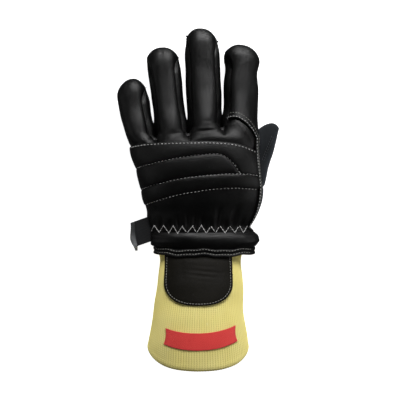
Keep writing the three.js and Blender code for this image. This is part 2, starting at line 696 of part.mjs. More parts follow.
// A patch on the knit, placed by its distance from the knit's middle line
function onKnit(x, share) {
  const left = along(knitSections, "left", share) * knitMouthBreadth;
  const right = along(knitSections, "right", share) * knitMouthBreadth;
  const across = clamp((2 * (x - left)) / (right - left) - 1, -1, 1);
  const angle = Math.asin(Math.abs(across) ** (archPower / 2)) * Math.sign(across);
  return knitPoint((angle / Math.PI + 0.5) / 2, share);
}
const knitShare = (distance) => (knitTuck + seamGap + bindingWidth + distance) / knitRun;
const patchFacets = 12;
const patchCrossRows = [0, 0.12, 0.28, 0.46, 0.64, 0.8, 0.92, 1];
function patchSurface(across, row) {
  const half = (along(patchRows, "half", row) * patchBreadth) / 2;
  const bulge = patchBulge * row ** 3 * tipArc(across);
  return onKnit(half * across, knitShare(patchStart + row * (patchLength - patchBulge) + bulge));
}
const evenPlaces = steps(patchFacets).map((s) => 2 * s - 1);
const layHeight = () => layClearance + overlayWall;
const patchGrid = lifted((across, row) => patchSurface(across, 1 - row), evenPlaces,
  patchCrossRows.map((row) => 1 - row).toReversed(), layHeight);
addPiece("pulse_patch", sheetGeometry(patchGrid, overlayWall, 0), materials.leather);

function labelSurface(across, row) {
  const distance = knitLength - labelSetback - labelLength * row;
  return onKnit((labelBreadth / 2) * across, knitShare(distance));
}
const labelGrid = lifted(labelSurface, evenPlaces, steps(3), () => layClearance + labelWall);
addPiece("label", sheetGeometry(labelGrid, labelWall, 0), materials.label);

// The folded tab of webbing that stands out from the little finger side of the wrist
const tabShape = new THREE.Shape();
const tabRound = tabThickness / 2;
tabShape.moveTo(0, tabRound);
tabShape.lineTo(tabRound - tabReach, tabRound);
tabShape.absarc(tabRound - tabReach, 0, tabRound, Math.PI / 2, (3 * Math.PI) / 2);
tabShape.lineTo(0, -tabRound);
tabShape.lineTo(0, webbingWall - tabRound);
tabShape.lineTo(tabRound - tabReach, webbingWall - tabRound);
tabShape.absarc(tabRound - tabReach, 0, tabRound - webbingWall, (3 * Math.PI) / 2, Math.PI / 2, true);
tabShape.lineTo(0, tabRound - webbingWall);
tabShape.closePath();
const tabFold = { depth: tabWidth, bevelEnabled: false, curveSegments: 6 };
const tabGeometry = new THREE.ExtrudeGeometry(tabShape, tabFold);
tabGeometry.rotateX(Math.PI / 2);
const tab = addPiece("strap_tab", tabGeometry, materials.webbing);
tab.rotation.z = tabTurn;
const tabEdge = wrist.left * knuckleBreadth - layClearance;
tab.position.set(tabEdge - tabSplay, -heelDistance + tabRise, sideSeamHeight + tabLift);

export default glove;
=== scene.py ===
# %% [markdown]
# # A structural firefighter's glove
#
# A left glove lies palm down on a pale table, seen straight from above. Its hand is black
# leather: a quilted back, four stalls with gussets between them, and a thumb and palm of
# suede. The wrist is drawn in by elastic under a zigzag of white thread. A long wristlet of
# pale yellow aramid knit hangs from a bound cuff, with a leather patch over the pulse and a
# bare red label.
#
# Everything here is modelled in millimetres and scaled to metres when a mesh is made. The
# glove's surfaces are functions of two parameters, worked out with whole numpy arrays.

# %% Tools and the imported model
from functools import partial

import bpy
import numpy as np
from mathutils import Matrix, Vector
from mathutils.bvhtree import BVHTree
from mathutils.kdtree import KDTree


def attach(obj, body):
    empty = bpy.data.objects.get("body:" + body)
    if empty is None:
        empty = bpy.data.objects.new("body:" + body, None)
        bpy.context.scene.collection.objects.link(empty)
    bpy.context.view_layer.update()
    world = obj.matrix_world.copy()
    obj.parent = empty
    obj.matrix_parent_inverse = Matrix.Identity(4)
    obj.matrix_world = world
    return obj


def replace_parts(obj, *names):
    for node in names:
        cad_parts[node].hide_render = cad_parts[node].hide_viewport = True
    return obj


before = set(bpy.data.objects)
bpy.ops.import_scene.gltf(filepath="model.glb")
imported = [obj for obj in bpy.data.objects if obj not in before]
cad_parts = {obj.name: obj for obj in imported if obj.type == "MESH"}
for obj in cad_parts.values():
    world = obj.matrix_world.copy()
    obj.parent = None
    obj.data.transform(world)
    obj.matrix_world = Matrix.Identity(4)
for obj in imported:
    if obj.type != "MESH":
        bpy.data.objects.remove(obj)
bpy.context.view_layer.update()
MM = 0.001
print("nodes:", sorted(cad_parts))


def add_object(name, data):
    """Puts a new object with this data in the scene."""
    made = bpy.data.objects.new(name, data)
    bpy.context.scene.collection.objects.link(made)
    return made


# %% [markdown]
# ## Camera
#
# The photograph looks straight down from about 360 mm. That near view is why the tall
# mouth of the wristlet looks wider than the wrist. The camera stands over the origin.

# %% Camera
camera_height = 360
camera_data = bpy.data.cameras.new("camera")
camera_data.sensor_width = 36
camera_data.lens = 32.4
camera = add_object("camera", camera_data)
camera.location = (0, 0, camera_height * MM)
bpy.context.scene.camera = camera
print("camera at", list(camera.location))

# %% [markdown]
# ## Sizes
#
# These began as the solid model's sizes and were then fitted to the photo. So a fine surface
# lies near its solid, not exactly on it: 95 % of each is within 3.5 mm, but for the quilted
# bands, which run further down the hand's sides. Short tables hold shares of these sizes,
# with their columns named.

# %% Sizes of the glove, in millimetres
leather_wall, knit_wall, lay_clearance, seam_gap = 2, 3, 0.4, 0.3
heel_distance, hand_length, palm_thickness = 29.5, 98.5, 42
side_seam_height, thumb_seam_height = 10, 18
knuckle_breadth, finger_length, finger_tip_bulge = 126.5, 93.1, 8.3
finger_thickness, upper_seam, lower_seam, tip_seam = 27, 21, 5, 11
dome_length, fourchette_inset, palm_inset, crotch_width, shoulder = 12, 3.6, 1.2, 2.2, 0.75
thumb_length, thumb_breadth, thumb_thickness = 52, 28, 16.5
thumb_turn, thumb_tip_bulge, thumb_tip_slant = np.radians(17.5), 9.5, 8.5
thumb_splay, thumb_clearance = 3.5, 5
cuff_length, cuff_bulge, cuff_tuck, binding_width, binding_thickness = 15, 5.5, 4.3, 6.4, 3
knit_length, knit_mouth_breadth, knit_mouth_height, knit_tuck, hem_bow = 86, 94, 62, 8, 4.8
patch_length, patch_breadth, patch_start, patch_round, patch_left = 40.5, 61.5, -1, 20, 1.5
patch_wall, label_wall, label_lift, tab_wall = 1.4, 0.8, 0.85, 2
label_length, label_breadth, label_setback = 12, 61.5, 16.2
tab_width, tab_reach, tab_thickness, tab_turn, tab_skew = 23.5, 16, 7, *np.radians([7, 12])
dome_close, closing_lead, opening_rise = 0.924, 0.1, 0.075
index_corner, corner_row, corner_reach = 1.8, 0.94, 0.09
knuckle_start, crotch_share = 0.87, 0.52
# Powers of the curves: the arch across a stall and across the wrist, a tip's bulge across
# and along the tip, and the arch over a tip.
arch_power, wrist_power, tip_power, bulge_power, dome_arch = 2.4, 2.6, 2.3, 1.4, 2.2


def table(names, rows):
    """A short table as a dictionary of its named columns."""
    return dict(zip(names.split(), np.array(rows, float).T))


# Little finger first. base is a share of the knuckle breadth without its crotches, left and
# right of the hand's length, rise of the palm's thickness, bulge of the tip's bulge, and
# length, lean, bow and slant of the middle finger's length.
stall_table = table("base left right rise length bulge lean bow slant outer", [
    [0.2327, 0.936, 0.906, 0.738, 0.475, 1.19, -0.0945, -0.0064, 0.036, -1],
    [0.241, 0.906, 0.943, 0.857, 0.8464, 0.964, -0.1058, 0, 0.0129, 0],
    [0.246, 0.943, 1, 0.893, 1, 1, -0.0354, 0.0054, -0.015, 0],
    [0.2803, 1, 0.797, 0.833, 0.7787, 0.95, 0.0145, 0.0032, -0.02, 1],
])
stall_widths = [
    [[0, 0.5], [0.13, 0.514], [0.35, 0.523], [0.8, 0.52], [1, 0.475]],
    [[0, 0.5], [0.07, 0.52], [0.2, 0.535], [0.5, 0.52], [0.72, 0.552], [0.88, 0.556], [1, 0.517]],
    [[0, 0.5], [0.1, 0.54], [0.3, 0.57], [0.8, 0.572], [0.9, 0.553], [1, 0.5]],
    [[0, 0.5], [0.1, 0.495], [0.35, 0.467], [0.62, 0.488], [0.8, 0.445], [0.92, 0.492],
     [1, 0.46]],
]
units = dict(base=knuckle_breadth - 3 * crotch_width, rise=palm_thickness,
             bulge=finger_tip_bulge,
             **dict.fromkeys(["length", "lean", "bow", "slant"], finger_length))
fingers = [{name: column[i] * units.get(name, 1) for name, column in stall_table.items()}
           for i in range(4)]
for f, widths in zip(fingers, stall_widths):
    f["widths"] = table("share half", widths)
hand_sections = table("share left right top right_seam", [
    [0, -0.382, 0.408, 0.79, 0.6], [0.05, -0.392, 0.38, 0.8, 0.64],
    [0.1, -0.399, 0.395, 0.82, 0.7], [0.2, -0.402, 0.425, 0.88, 0.82],
    [0.3, -0.422, 0.443, 0.95, 0.92], [0.4, -0.437, 0.453, 0.985, 1.04],
    [0.52, -0.455, 0.458, 1, 1.14], [0.64, -0.478, 0.451, 1, 1.2],
    [0.76, -0.508, 0.443, 0.985, 1.22], [0.88, -0.531, 0.439, 0.95, 1.18],
    [1, -0.564, 0.436, 0.9, 1.05],
])
stitch_lines = {
    "top": table("share at", [[0, 0.79], [0.15, 0.802], [0.5, 0.809], [0.65, 0.808],
                              [0.83, 0.787], [1, 0.722]]),
    "lobe": table("share at", [[0, 0.6], [0.2, 0.638], [0.376, 0.678], [0.55, 0.706],
                               [0.679, 0.709], [0.743, 0.659], [0.812, 0.534]]),
    "middle": table("share at", [[0, 0.395], [0.2, 0.454], [0.38, 0.497], [0.65, 0.531],
                                 [0.812, 0.534], [1, 0.519]]),
    "bottom": table("share at", [[0, 0.25], [0.152, 0.297], [0.342, 0.353], [0.584, 0.394],
                                 [0.76, 0.408], [1, 0.396]]),
}
lobe_end, lobe_tip, band_start = 0.795, 0.812, 0.002
cuff_sections = table("share out", [[0, 0], [0.15, 0.5], [0.38, 0.95], [0.6, 1],
                                    [0.82, 0.66], [1, 0.12]])
knit_sections = table("share left right top floor", [
    [0, -0.43, 0.44, 0.5, 1], [0.15, -0.42, 0.43, 0.505, 1], [0.205, -0.411, 0.422, 0.55, 0],
    [0.35, -0.42, 0.428, 0.67, 0], [0.55, -0.445, 0.428, 0.8, 0],
    [0.75, -0.475, 0.443, 0.92, 0], [0.92, -0.5, 0.47, 0.99, 0], [1, -0.505, 0.473, 1, 0],
])
heel_sides = table("share height out", [[0, 1, 0], [0.33, 0.66, 0.9], [0.67, 0.28, 0.85],
                                        [1, 0, -0.4]])
little_side = hand_sections["left"][-1]
edge = little_side * knuckle_breadth
for f in fingers:
    f["centre"] = edge + f["base"] / 2
    edge += f["base"] + crotch_width
index = fingers[-1]
print("stalls", [round(f["base"], 1) for f in fingers], "mm broad")

# %% [markdown]
# ## The glove's surfaces
#
# Each surface is a function that takes arrays of two parameters and gives points. `across`
# runs from −1 on the little finger's side to 1 on the thumb's side, and `row` or `share`
# from 0 at the wrist's end to 1 at the tip.


# %% Curves that the surfaces share
def lerp(a, b, t):
    """a at t = 0, b at t = 1, and a straight line between."""
    return a + (b - a) * t


def smoothstep(x, low, high):
    """0 below low, 1 above high, and 3t² − 2t³ between."""
    t = np.clip((x - low) / (high - low), 0, 1)
    return t * t * (3 - 2 * t)


def along(rows, column, share):
    """A smooth curve through a table's column: cubic pieces, each knot's slope taken
    across its two neighbours."""
    x, y = rows["share"], rows[column]
    last = len(x) - 1
    i = np.clip(np.searchsorted(x, share, side="left") - 1, 0, last - 1)
    before, after = np.maximum(i - 1, 0), np.minimum(i + 2, last)
    span = x[i + 1] - x[i]
    t = np.clip((share - x[i]) / span, 0, 1)
    start = (y[i + 1] - y[before]) / (x[i + 1] - x[before]) * span
    end = (y[after] - y[i]) / (x[after] - x[i]) * span
    rest = 1 - t
    return (y[i] * (1 + 2 * t) * rest**2 + start * t * rest**2
            + y[i + 1] * t * t * (3 - 2 * t) - end * t * t * rest)


def arch(across, power=arch_power):
    """A superellipse: (1 − |a|^p)^(1/p), 1 at the middle and 0 at the sides."""
    return np.maximum(0, 1 - np.abs(across) ** power) ** (1 / power)


def arch_place(angle):
    """Where an angle of the arch falls across: |sin a|^(2/p) with the angle's sign."""
    return np.sign(angle) * np.abs(np.sin(angle)) ** (2 / arch_power)


def flat_arch(across):
    """An arch with a flat middle: the arch times 1.9, cut off at 1."""
    return np.minimum(1, 1.9 * arch(across))


def stack(*parts):
    """Coordinates of any shapes that broadcast, as one array of points."""
    return np.stack(np.broadcast_arrays(*parts), axis=-1).astype(float)


def near(distance, width):
    """1 on a line, falling off as exp(−(d/width)²)."""
    return np.exp(-((distance / width) ** 2))


def unit(vectors):
    """Vectors of length 1 that point as these do."""
    return vectors / np.maximum(np.linalg.norm(vectors, axis=-1, keepdims=True), 1e-9)


def steps(count, low=0, high=1):
    """Numbers evenly spaced from low to high."""
    return np.linspace(low, high, count)


def sides_of(sections, breadth, share):
    """x of the left and of the right side of a section."""
    return [along(sections, side, share) * breadth for side in ("left", "right")]


# %% The stalls of the fingers
def y_of(share):
    """Distance from the origin of a share of the hand's length."""
    return hand_length * share - heel_distance


def base_share(f, across):
    """How far along the hand a stall begins. The index stall's base curls to its side."""
    if f["outer"] < 1:
        return lerp(f["left"], f["right"], (across + 1) / 2)
    curl = np.minimum(1, (across + 1) / (1 + shoulder)) ** 3
    return lerp(f["left"], f["right"], curl)


def dome_start(length):
    """The row at which a stall of this length begins to round off."""
    return 1 - dome_length / length


def dome_of(length, row):
    """0 down the body of a stall, and 0 to 1 over its rounded tip."""
    start = dome_start(length)
    return np.clip((row - start) / (1 - start), 0, 1)


def tip_bulge(bulge, dome, across):
    """How far a tip stands out: bulge dome^1.4 (1 − |across|^2.3)."""
    return bulge * dome**bulge_power * (1 - np.abs(across) ** tip_power)


def stall_plan(f, across, row, inset):
    """x and y of a stall: its middle line leans and bows, its half width follows a table,
    and its tip bulges. The index stall has a soft corner on its outer side."""
    half = along(f["widths"], "half", row) * f["base"] - inset
    x = f["centre"] + f["lean"] * row + f["bow"] * np.sin(np.pi * row) + half * across
    corner = y_of(f["left"]) + f["length"] + f["slant"] * across
    bulge = tip_bulge(f["bulge"], dome_of(f["length"], row), across)
    if f["outer"] == 1:
        x = x + index_corner * near(row - corner_row, corner_reach) * np.maximum(across, 0)
    return x, lerp(y_of(base_share(f, across)), corner, row) + bulge


def closing(f, row):
    """How far the two panels of a stall have come together towards its tip, 0 to 1."""
    start = dome_start(f["length"])
    reach = dome_close * (1 - start) + closing_lead
    return np.clip((row - start + closing_lead) / reach, 0, 1) ** bulge_power


def opening(row):
    """The gusset's U at the crotch: a quarter ellipse from 0 to 1 over a short rise."""
    return np.sqrt(1 - (1 - np.clip(row / opening_rise, 0, 1)) ** 2)


def seam_at(f, across, row, upper):
    """Height of the seam at a panel's edge, and how far it stands in from the outline."""
    close = closing(f, row)
    outer = np.sign(across) == f["outer"]
    thumb_side = thumb_seam_height * hand_sections["right_seam"][-1]
    base = side_seam_height if f["outer"] < 0 else thumb_side
    inner = upper_seam if upper else lower_seam
    settled = np.where(outer, lerp(base, tip_seam, smoothstep(row, 0, 0.5)), inner)
    full = fourchette_inset if upper else palm_inset
    inset = np.where(outer, 0, full * opening(row) * (1 - close))
    return lerp(settled, tip_seam, close), inset


def stall_top(f, row):
    """Height of a stall's middle line: it comes down from the knuckle to the finger."""
    return lerp(f["rise"], finger_thickness, smoothstep(row, -0.14, 0.65))


def stall_back(f, across, row):
    """The back of a stall: an arch across it, and an arch over its tip."""
    seam, inset = seam_at(f, across, row, True)
    x, y = stall_plan(f, across, row, inset)
    rise = (stall_top(f, row) - seam) * arch(across) * arch(dome_of(f["length"], row), dome_arch)
    return stack(x, y, seam + rise)


def stall_front(f, across, row):
    """The front of a stall, flat on the table. The index stall's side lies on the thumb."""
    seam, inset = seam_at(f, across, row, False)
    x, y = stall_plan(f, across, row, inset)
    flat = seam * (1 - flat_arch(across) * flat_arch(dome_of(f["length"], row)))
    if f["outer"] == 1:
        past = 1 - smoothstep(y, thumb_tip - dome_length / 4, thumb_tip + dome_length)
        flat = np.minimum(np.maximum(flat, lift_over_thumb(x, y, 1.0) * past), seam)
    return stack(x, y, flat)


def gusset(f, side, row, drop):
    """A gusset's side: from the upper seam (drop 0) to the lower, bulging to the outline."""
    high, high_inset = seam_at(f, side, row, True)
    low, low_inset = seam_at(f, side, row, False)
    belly = (high_inset + low_inset) / 2 * np.sin(np.pi * drop)
    x, y = stall_plan(f, side, row, lerp(high_inset, low_inset, drop) - belly)
    return stack(x, y, lerp(high, low, drop))


# %% The hand
def hand_place(f, across):
    """Place across the whole hand, 0 to 1, below a place across a stall."""
    return (f["centre"] + f["base"] / 2 * across) / knuckle_breadth - little_side


def hand_plan(place, base, share):
    """x and y on the hand: straight across between its sides, and up to the stall's base."""
    left, right = sides_of(hand_sections, knuckle_breadth, share)
    return lerp(left, right, place), lerp(-heel_distance, y_of(base), share)


def seam_right(share):
    """Height of the seam on the thumb's side."""
    return along(hand_sections, "right_seam", share) * thumb_seam_height


def side_seam(span, share):
    """Height of the hand's side seam, on whichever side of the middle it is."""
    return np.where(span < 0, side_seam_height, seam_right(share))


def broad_arch(place, share):
    """Heights of the side seam, and of one arch from side to side of the hand."""
    span = 2 * place - 1
    side = side_seam(span, share)
    top = along(hand_sections, "top", share) * palm_thickness
    return side, side + (top - side) * arch(span, wrist_power)


def hand_back(f, across, share):
    """The back of the hand: one broad arch at the wrist that breaks into the stalls'."""
    place, base = hand_place(f, across), base_share(f, across)
    side, broad = broad_arch(place, share)
    seam = np.where(np.sign(across) == f["outer"], side, upper_seam)
    ahead = (share - 1) * hand_length / f["length"]
    knuckle = seam + (stall_top(f, ahead) - seam) * arch(across)
    height = lerp(broad, knuckle, smoothstep(share, knuckle_start, 1))
    return stack(*hand_plan(place, base, share), height)


thumb_root = (0.3755 * knuckle_breadth, y_of(0.46))
thumb_tip = thumb_root[1] + (thumb_length + thumb_tip_bulge) * np.cos(thumb_turn)


def lift_over_thumb(x, y, share):
    """Height of the hand's leather over the thumb: full past its middle line, and an arch
    down to the table on the palm's side."""
    middle = thumb_root[0] + (y - thumb_root[1]) * np.tan(thumb_turn)
    over = thumb_breadth / 2 + thumb_clearance
    return seam_right(share) * np.where(x > middle, 1, arch((middle - x) / over))


def hand_front(f, across, share):
    """The palm: flat on the table, turned up at its sides and over the thumb."""
    place, base = hand_place(f, across), base_share(f, across)
    x, y = hand_plan(place, base, share)
    span = 2 * place - 1
    seam = np.where(np.sign(across) == f["outer"], side_seam(span, share), lower_seam)
    knuckle = seam * (1 - flat_arch(across))
    broad = np.where(span < 0, side_seam_height * (1 - flat_arch(span)), 0)
    lifted = np.where(share > crotch_share - 1e-6, lift_over_thumb(x, y, share), 0)
    blend = smoothstep(share, 0.8, 1)
    return stack(x, y, lerp(np.maximum(broad, lifted), np.maximum(knuckle, lifted), blend))


# %% The thumb
# The part of the wrap that goes down the heel's side, and where the palm's leather ends.
heel_part, split_place = 3 / 7, -5 / 9


def thumb_wrap(s, share):
    """Leather of the thumb below its crotch: down the heel's side, then in on the table."""
    seam = hand_front(index, 1.0, share)
    split = hand_front(index, split_place, share)
    out = thumb_splay * smoothstep(share, 0, 0.4)
    down = s / heel_part
    side_x = seam[..., 0] + along(heel_sides, "out", down) * out
    side_z = along(heel_sides, "height", down) * seam_right(share)
    side_z = np.where(s == 0, np.maximum(side_z, seam[..., 2]), side_z)
    floor = np.clip((s - heel_part) / (1 - heel_part), 0, 1)
    foot = seam[..., 0] + heel_sides["out"][-1] * out
    x = np.where(s <= heel_part, side_x, lerp(foot, split[..., 0], floor))
    y = lerp(seam[..., 1], split[..., 1], floor)
    return stack(x, y, np.where(s <= heel_part, side_z, 0))


def thumb_ring(side, s, row):
    """The thumb's stall: an arch above and a flat below, round its own leaning line. Near
    its root it settles from the hand's edge into that section."""
    if side > 0:
        root = hand_front(index, lerp(split_place, 1, s), crotch_share)
    else:
        root = thumb_wrap(s, crotch_share)
    across = arch_place((s - 0.5) * np.pi * side)
    dome = dome_of(thumb_length, row)
    close = smoothstep(row, dome_start(thumb_length) - closing_lead, 1)
    seam = lerp(lower_seam, tip_seam * 0.8, close)
    half = thumb_breadth / 2 * (1 - 0.12 * close) * lerp(1.12, 1, smoothstep(row, 0, 0.4))
    ahead = row * thumb_length + tip_bulge(thumb_tip_bulge, dome, across)
    ahead = ahead + thumb_tip_slant * dome * across
    x = thumb_root[0] + half * across * np.cos(thumb_turn) + ahead * np.sin(thumb_turn)
    y = thumb_root[1] - half * across * np.sin(thumb_turn) + ahead * np.cos(thumb_turn)
    upper = seam + (thumb_thickness - seam) * arch(across) * arch(dome, dome_arch)
    lower = seam * (1 - flat_arch(across) * flat_arch(dome))
    ring = stack(x, y, upper if side > 0 else lower)
    settle = np.broadcast_to(smoothstep(row, 0, 0.08), ring.shape[:2])[..., None]
    return lerp(np.broadcast_to(root, ring.shape), ring, settle)


# %% [markdown]
# ## One skin of leather
#
# The panels of the hand are grids of points. Where two panels meet they share their points,
# so one set of outward directions serves the whole skin, and a seam has no crack. After
# that each panel is shaped along those directions: it rolls in at its seams, puffs between
# its stitch lines and creases where it bends.

# %% Grids of the skin
stall_facets, side_facets, drop_facets = 30, 15, 10
half_turn = np.pi / 2
inner_places = arch_place(lerp(-half_turn, half_turn, steps(41)))
turn_in = np.arcsin(shoulder ** (arch_power / 2))
body_places = arch_place(lerp(-half_turn, turn_in, steps(stall_facets + 1)))
side_places = arch_place(lerp(turn_in, half_turn, steps(side_facets + 1)))
index_places = np.concatenate([body_places, side_places[1:]])
hand_shares = steps(101)
# The row of the thumb's crotch, the column where the palm's leather ends beside the thumb,
# and the row where the back panel laps under the index piece.
crotch_row, split, lap_row = 52, 10, 6


def places_of(f):
    """Places across a stall, close together at its sides, where the arch is steep."""
    return index_places if f["outer"] == 1 else inner_places


def rows_of(length, body=60, dome=14):
    """Rows along a stall: even down its body, and closer together over its tip."""
    start = dome_start(length)
    tip = np.sin(steps(dome + 1, 0, half_turn)[1:])
    return np.concatenate([steps(body + 1, 0, start), lerp(start, 1, tip)])


def front_places(f, row):
    """The front's columns: even down the stall, and on the back's columns at its tip."""
    places = places_of(f)
    spread = steps(len(places), -1, 1)
    return lerp(spread, places, closing(f, row))


patches = []


def add_patch(panel, points, flip=False):
    """Adds one grid of points to a panel."""
    patches.append((panel, points, flip))


for i, f in enumerate(fingers):
    rows, shares, places = rows_of(f["length"])[:, None], hand_shares[:, None], places_of(f)
    front = stall_front(f, front_places(f, rows), rows)
    palm = hand_front(f, front_places(f, 0.0), shares)
    if f["outer"] == 1:
        body, side = body_places, side_places
        add_patch("back_panel", hand_back(f, body, shares))
        add_patch("back_panel", stall_back(f, body, rows[: lap_row + 1]))
        add_patch("index_back", stall_back(f, body, rows[lap_row:]))
        add_patch("index_back", stall_back(f, side, rows))
        add_patch("index_back", hand_back(f, side, shares))
        add_patch("palm_panel", palm[: crotch_row + 1, : split + 1], True)
        add_patch("palm_panel", palm[crotch_row:], True)
    else:
        add_patch("back_panel", hand_back(f, places, shares))
        add_patch("back_panel", stall_back(f, places, rows))
        add_patch("palm_panel", palm, True)
    add_patch("palm_panel", front, True)
    if i:
        before, drops = fingers[i - 1], steps(drop_facets + 1)
        name = f"fourchette_{i}"
        add_patch(name, gusset(before, 1.0, rows_of(before["length"])[:, None], drops))
        add_patch(name, gusset(f, -1.0, rows, drops), True)
        bottom = [gusset(before, 1.0, 0.0, drops), gusset(f, -1.0, 0.0, drops)]
        add_patch(name, np.array(bottom), True)
        for panel, surface in (("back_panel", hand_back), ("palm_panel", hand_front)):
            pair = [surface(before, 1.0, hand_shares), surface(f, -1.0, hand_shares)]
            add_patch(panel, np.stack(pair, axis=1), panel == "palm_panel")
ring_steps = steps(len(index_places) - split)
thumb_rows = rows_of(thumb_length, 40, 12)[:, None]
add_patch("thumb", thumb_wrap(ring_steps, hand_shares[: crotch_row + 1, None]))
add_patch("thumb", thumb_ring(-1, ring_steps, thumb_rows))
add_patch("thumb", thumb_ring(1, ring_steps, thumb_rows))


# %% Welding the grids and finding the outward directions
def four_corners(grid):
    """The four corners of each cell of a grid, in order round it."""
    return grid[:-1, :-1], grid[:-1, 1:], grid[1:, 1:], grid[1:, :-1]


def quads(ids, flip):
    """Faces of a grid of point numbers, four corners each."""
    faces = np.stack(four_corners(ids), -1).reshape(-1, 4)
    return faces[:, ::-1] if flip else faces


def normals_of(points, faces):
    """Outward direction at each point: the sum of its faces' normals, by their areas."""
    normal = np.cross(points[faces[:, 2]] - points[faces[:, 0]],
                      points[faces[:, 3]] - points[faces[:, 1]])
    sums = np.zeros_like(points)
    for corner in range(4):
        np.add.at(sums, faces[:, corner], normal)
    return unit(sums)


grid_points = np.concatenate([grid.reshape(-1, 3) for _, grid, _ in patches])
# Points that fall in one cell of this size, in millimetres, become one.
cell = 0.0213
_, first, numbers = np.unique(np.round(grid_points / cell), axis=0, return_index=True,
                              return_inverse=True)
numbers = numbers.ravel()
skin_points = grid_points[first]
panels, offset = {}, 0
for panel, grid, flip in patches:
    count = grid.shape[0] * grid.shape[1]
    ids = numbers[offset : offset + count].reshape(grid.shape[:2])
    panels.setdefault(panel, []).append(quads(ids, flip))
    offset += count
panels = {panel: np.concatenate(faces) for panel, faces in panels.items()}
skin_normals = normals_of(skin_points, np.concatenate(list(panels.values())))
print("skin:", len(skin_points), "points,", {p: len(v) for p, v in panels.items()})


# %% Distances from the seams and from the stitch lines
def distance_to(points, targets):
    """Distance from each point to the nearest target."""
    tree = KDTree(len(targets))
    for i, target in enumerate(targets):
        tree.insert(target, i)
    tree.balance()
    return np.array([tree.find(p)[2] for p in points])


corner_sets = {panel: set(faces.ravel().tolist()) for panel, faces in panels.items()}


def seam_points(panel, others):
    """Points that a panel shares with any of the others."""
    shared = set().union(*(corner_sets[panel] & corner_sets[o] for o in others if o != panel))
    return skin_points[sorted(shared)]


# %% [markdown]
# ### Creases, puckers and soft lumps
#
# Leather this thick never lies smooth. The elastic gathers it above the zigzag, it creases
# at the root of the middle finger, and it sags between the knuckles. Each dent is one row of
# a table. The lumps are a few long waves added together, so that no highlight is straight.

# %% Dents, gathers and lumps
dents = table("x y long wide turn depth", [
    [5, 62.3, 11, 1.2, 5, 1.3],
    [8, 71, 6, 1, 2, 0.35],
    [9, 67, 7, 1.2, 4, 0.3],
    [-20, 60.5, 7, 3.2, 12, 1.5],
    [-27, 55, 16, 2.6, 6, 0.8],
    [-44, 58, 9, 2.6, 75, 1.2],
    [-12.5, 62, 6, 2, 80, 1.3],
    [24, 58, 10, 3.5, 10, 0.5],
    [38, 131, 13, 3.2, 4, 0.25],
])
puckers = table("x high low lean depth wide", [
    [-42, -14, -27, 2, 0.9, 1.9], [-36.5, -15, -28, 0.5, 1.7, 1.8], [-27.4, -16, -28, 1, 1.6, 1.7],
    [-19, -13, -28, -1, 1.9, 1.9], [-11.5, -9, -28, 0.5, 1.9, 1.7], [-5.5, -11, -28, 1.5, 1.7, 1.6],
    [2, -14, -28, 0, 1.8, 1.9], [9, -17, -28, 1, 1, 1.5], [15, -4, -28, 3, 2.3, 2.2],
    [22, -17, -28, 1.5, 1.1, 1.6], [29, -5, -27, 5, 2.3, 2.4], [37, -13, -28, 3, 1.2, 1.9],
])
swell_y, swell_reach, swell_height = -19, 8, 0.9
rng = np.random.default_rng(7)
wave_count, shortest_wave, longest_wave = 14, 11, 46
waves = dict(way=rng.normal(size=(wave_count, 3)),
             length=rng.uniform(shortest_wave, longest_wave, wave_count),
             phase=rng.uniform(0, 2 * np.pi, wave_count))
waves["way"] = unit(waves["way"])


def lumps(points, scale=1.0):
    """Long cosine waves through space, longer ones higher, about −1 to 1 in all."""
    total = np.zeros(len(points))
    for way, length, phase in zip(waves["way"], waves["length"] * scale, waves["phase"]):
        total += np.cos(points @ way * 2 * np.pi / length + phase) * (length / scale / longest_wave)
    return total / 3


def dent_depth(points):
    """Depth of the dents at points: each is a stretched bell on the plan."""
    total = np.zeros(len(points))
    for x, y, long, wide, turn, depth in zip(*dents.values()):
        c, s = np.cos(np.radians(turn)), np.sin(np.radians(turn))
        dx, dy = points[:, 0] - x, points[:, 1] - y
        u, v = (dx * c + dy * s) / long, (dy * c - dx * s) / wide
        total += depth * np.exp(-(u**2) - v**2)
    return total


def pucker_depth(points):
    """Depth of the puckers: valleys that run up from the elastic and fade, on a swell."""
    total = np.zeros(len(points))
    for x, high, low, lean, depth, wide in zip(*puckers.values()):
        run = (points[:, 1] - low) / (high - low)
        middle = x + lean * np.clip(run, -0.5, 1)
        fade = smoothstep(-run, -1.15, -0.35) * smoothstep(run, -0.15, 0.35)
        width = wide * (0.75 + 0.5 * np.clip(run, 0, 1))
        total += depth * fade * near(points[:, 0] - middle, width)
    return total - near(points[:, 1] - swell_y, swell_reach) * swell_height


# %% Shaping the panels
def back_at(place, at):
    """Points on the back of the hand, at places across it and shares up from the wrist."""
    place, at = np.broadcast_arrays(np.asarray(place, float), np.asarray(at, float))
    x = (place + little_side) * knuckle_breadth
    points = np.zeros(place.shape + (3,))
    left_over = np.ones(place.shape, bool)
    for f in fingers:
        in_reach = x <= f["centre"] + f["base"] / 2 + crotch_width / 2
        mine = left_over & (in_reach | (f is index))
        across = (x[mine] - f["centre"]) / (f["base"] / 2)
        base = base_share(f, across)
        share = at[mine] / base
        broad = broad_arch(place[mine], share)[1]
        knuckle = hand_back(f, np.clip(across, -1, 1), share)[:, 2]
        height = lerp(broad, knuckle, share > knuckle_start)
        points[mine] = stack(*hand_plan(place[mine], base, share), height)
        left_over &= ~mine
    return points


def shape(panel, height):
    """The panel's own points, moved by a height, and its faces. Leather that lies on the
    table faces it, so that its wall stands up from there."""
    ids, faces = np.unique(panels[panel], return_inverse=True)
    faces = faces.reshape(-1, 4)
    points, normals = skin_points[ids], skin_normals[ids]
    moved = points + normals * height(points, normals)[:, None]
    moved[:, 2] = np.maximum(moved[:, 2], 0)
    a, b, c, d = (moved[faces[:, corner]] for corner in range(4))
    looks_up = np.cross(c - a, d - b)[:, 2] > 0
    on_table = (moved[faces][..., 2] < 0.01).all(axis=1)
    return moved, np.where((looks_up & on_table)[:, None], faces[:, ::-1], faces)


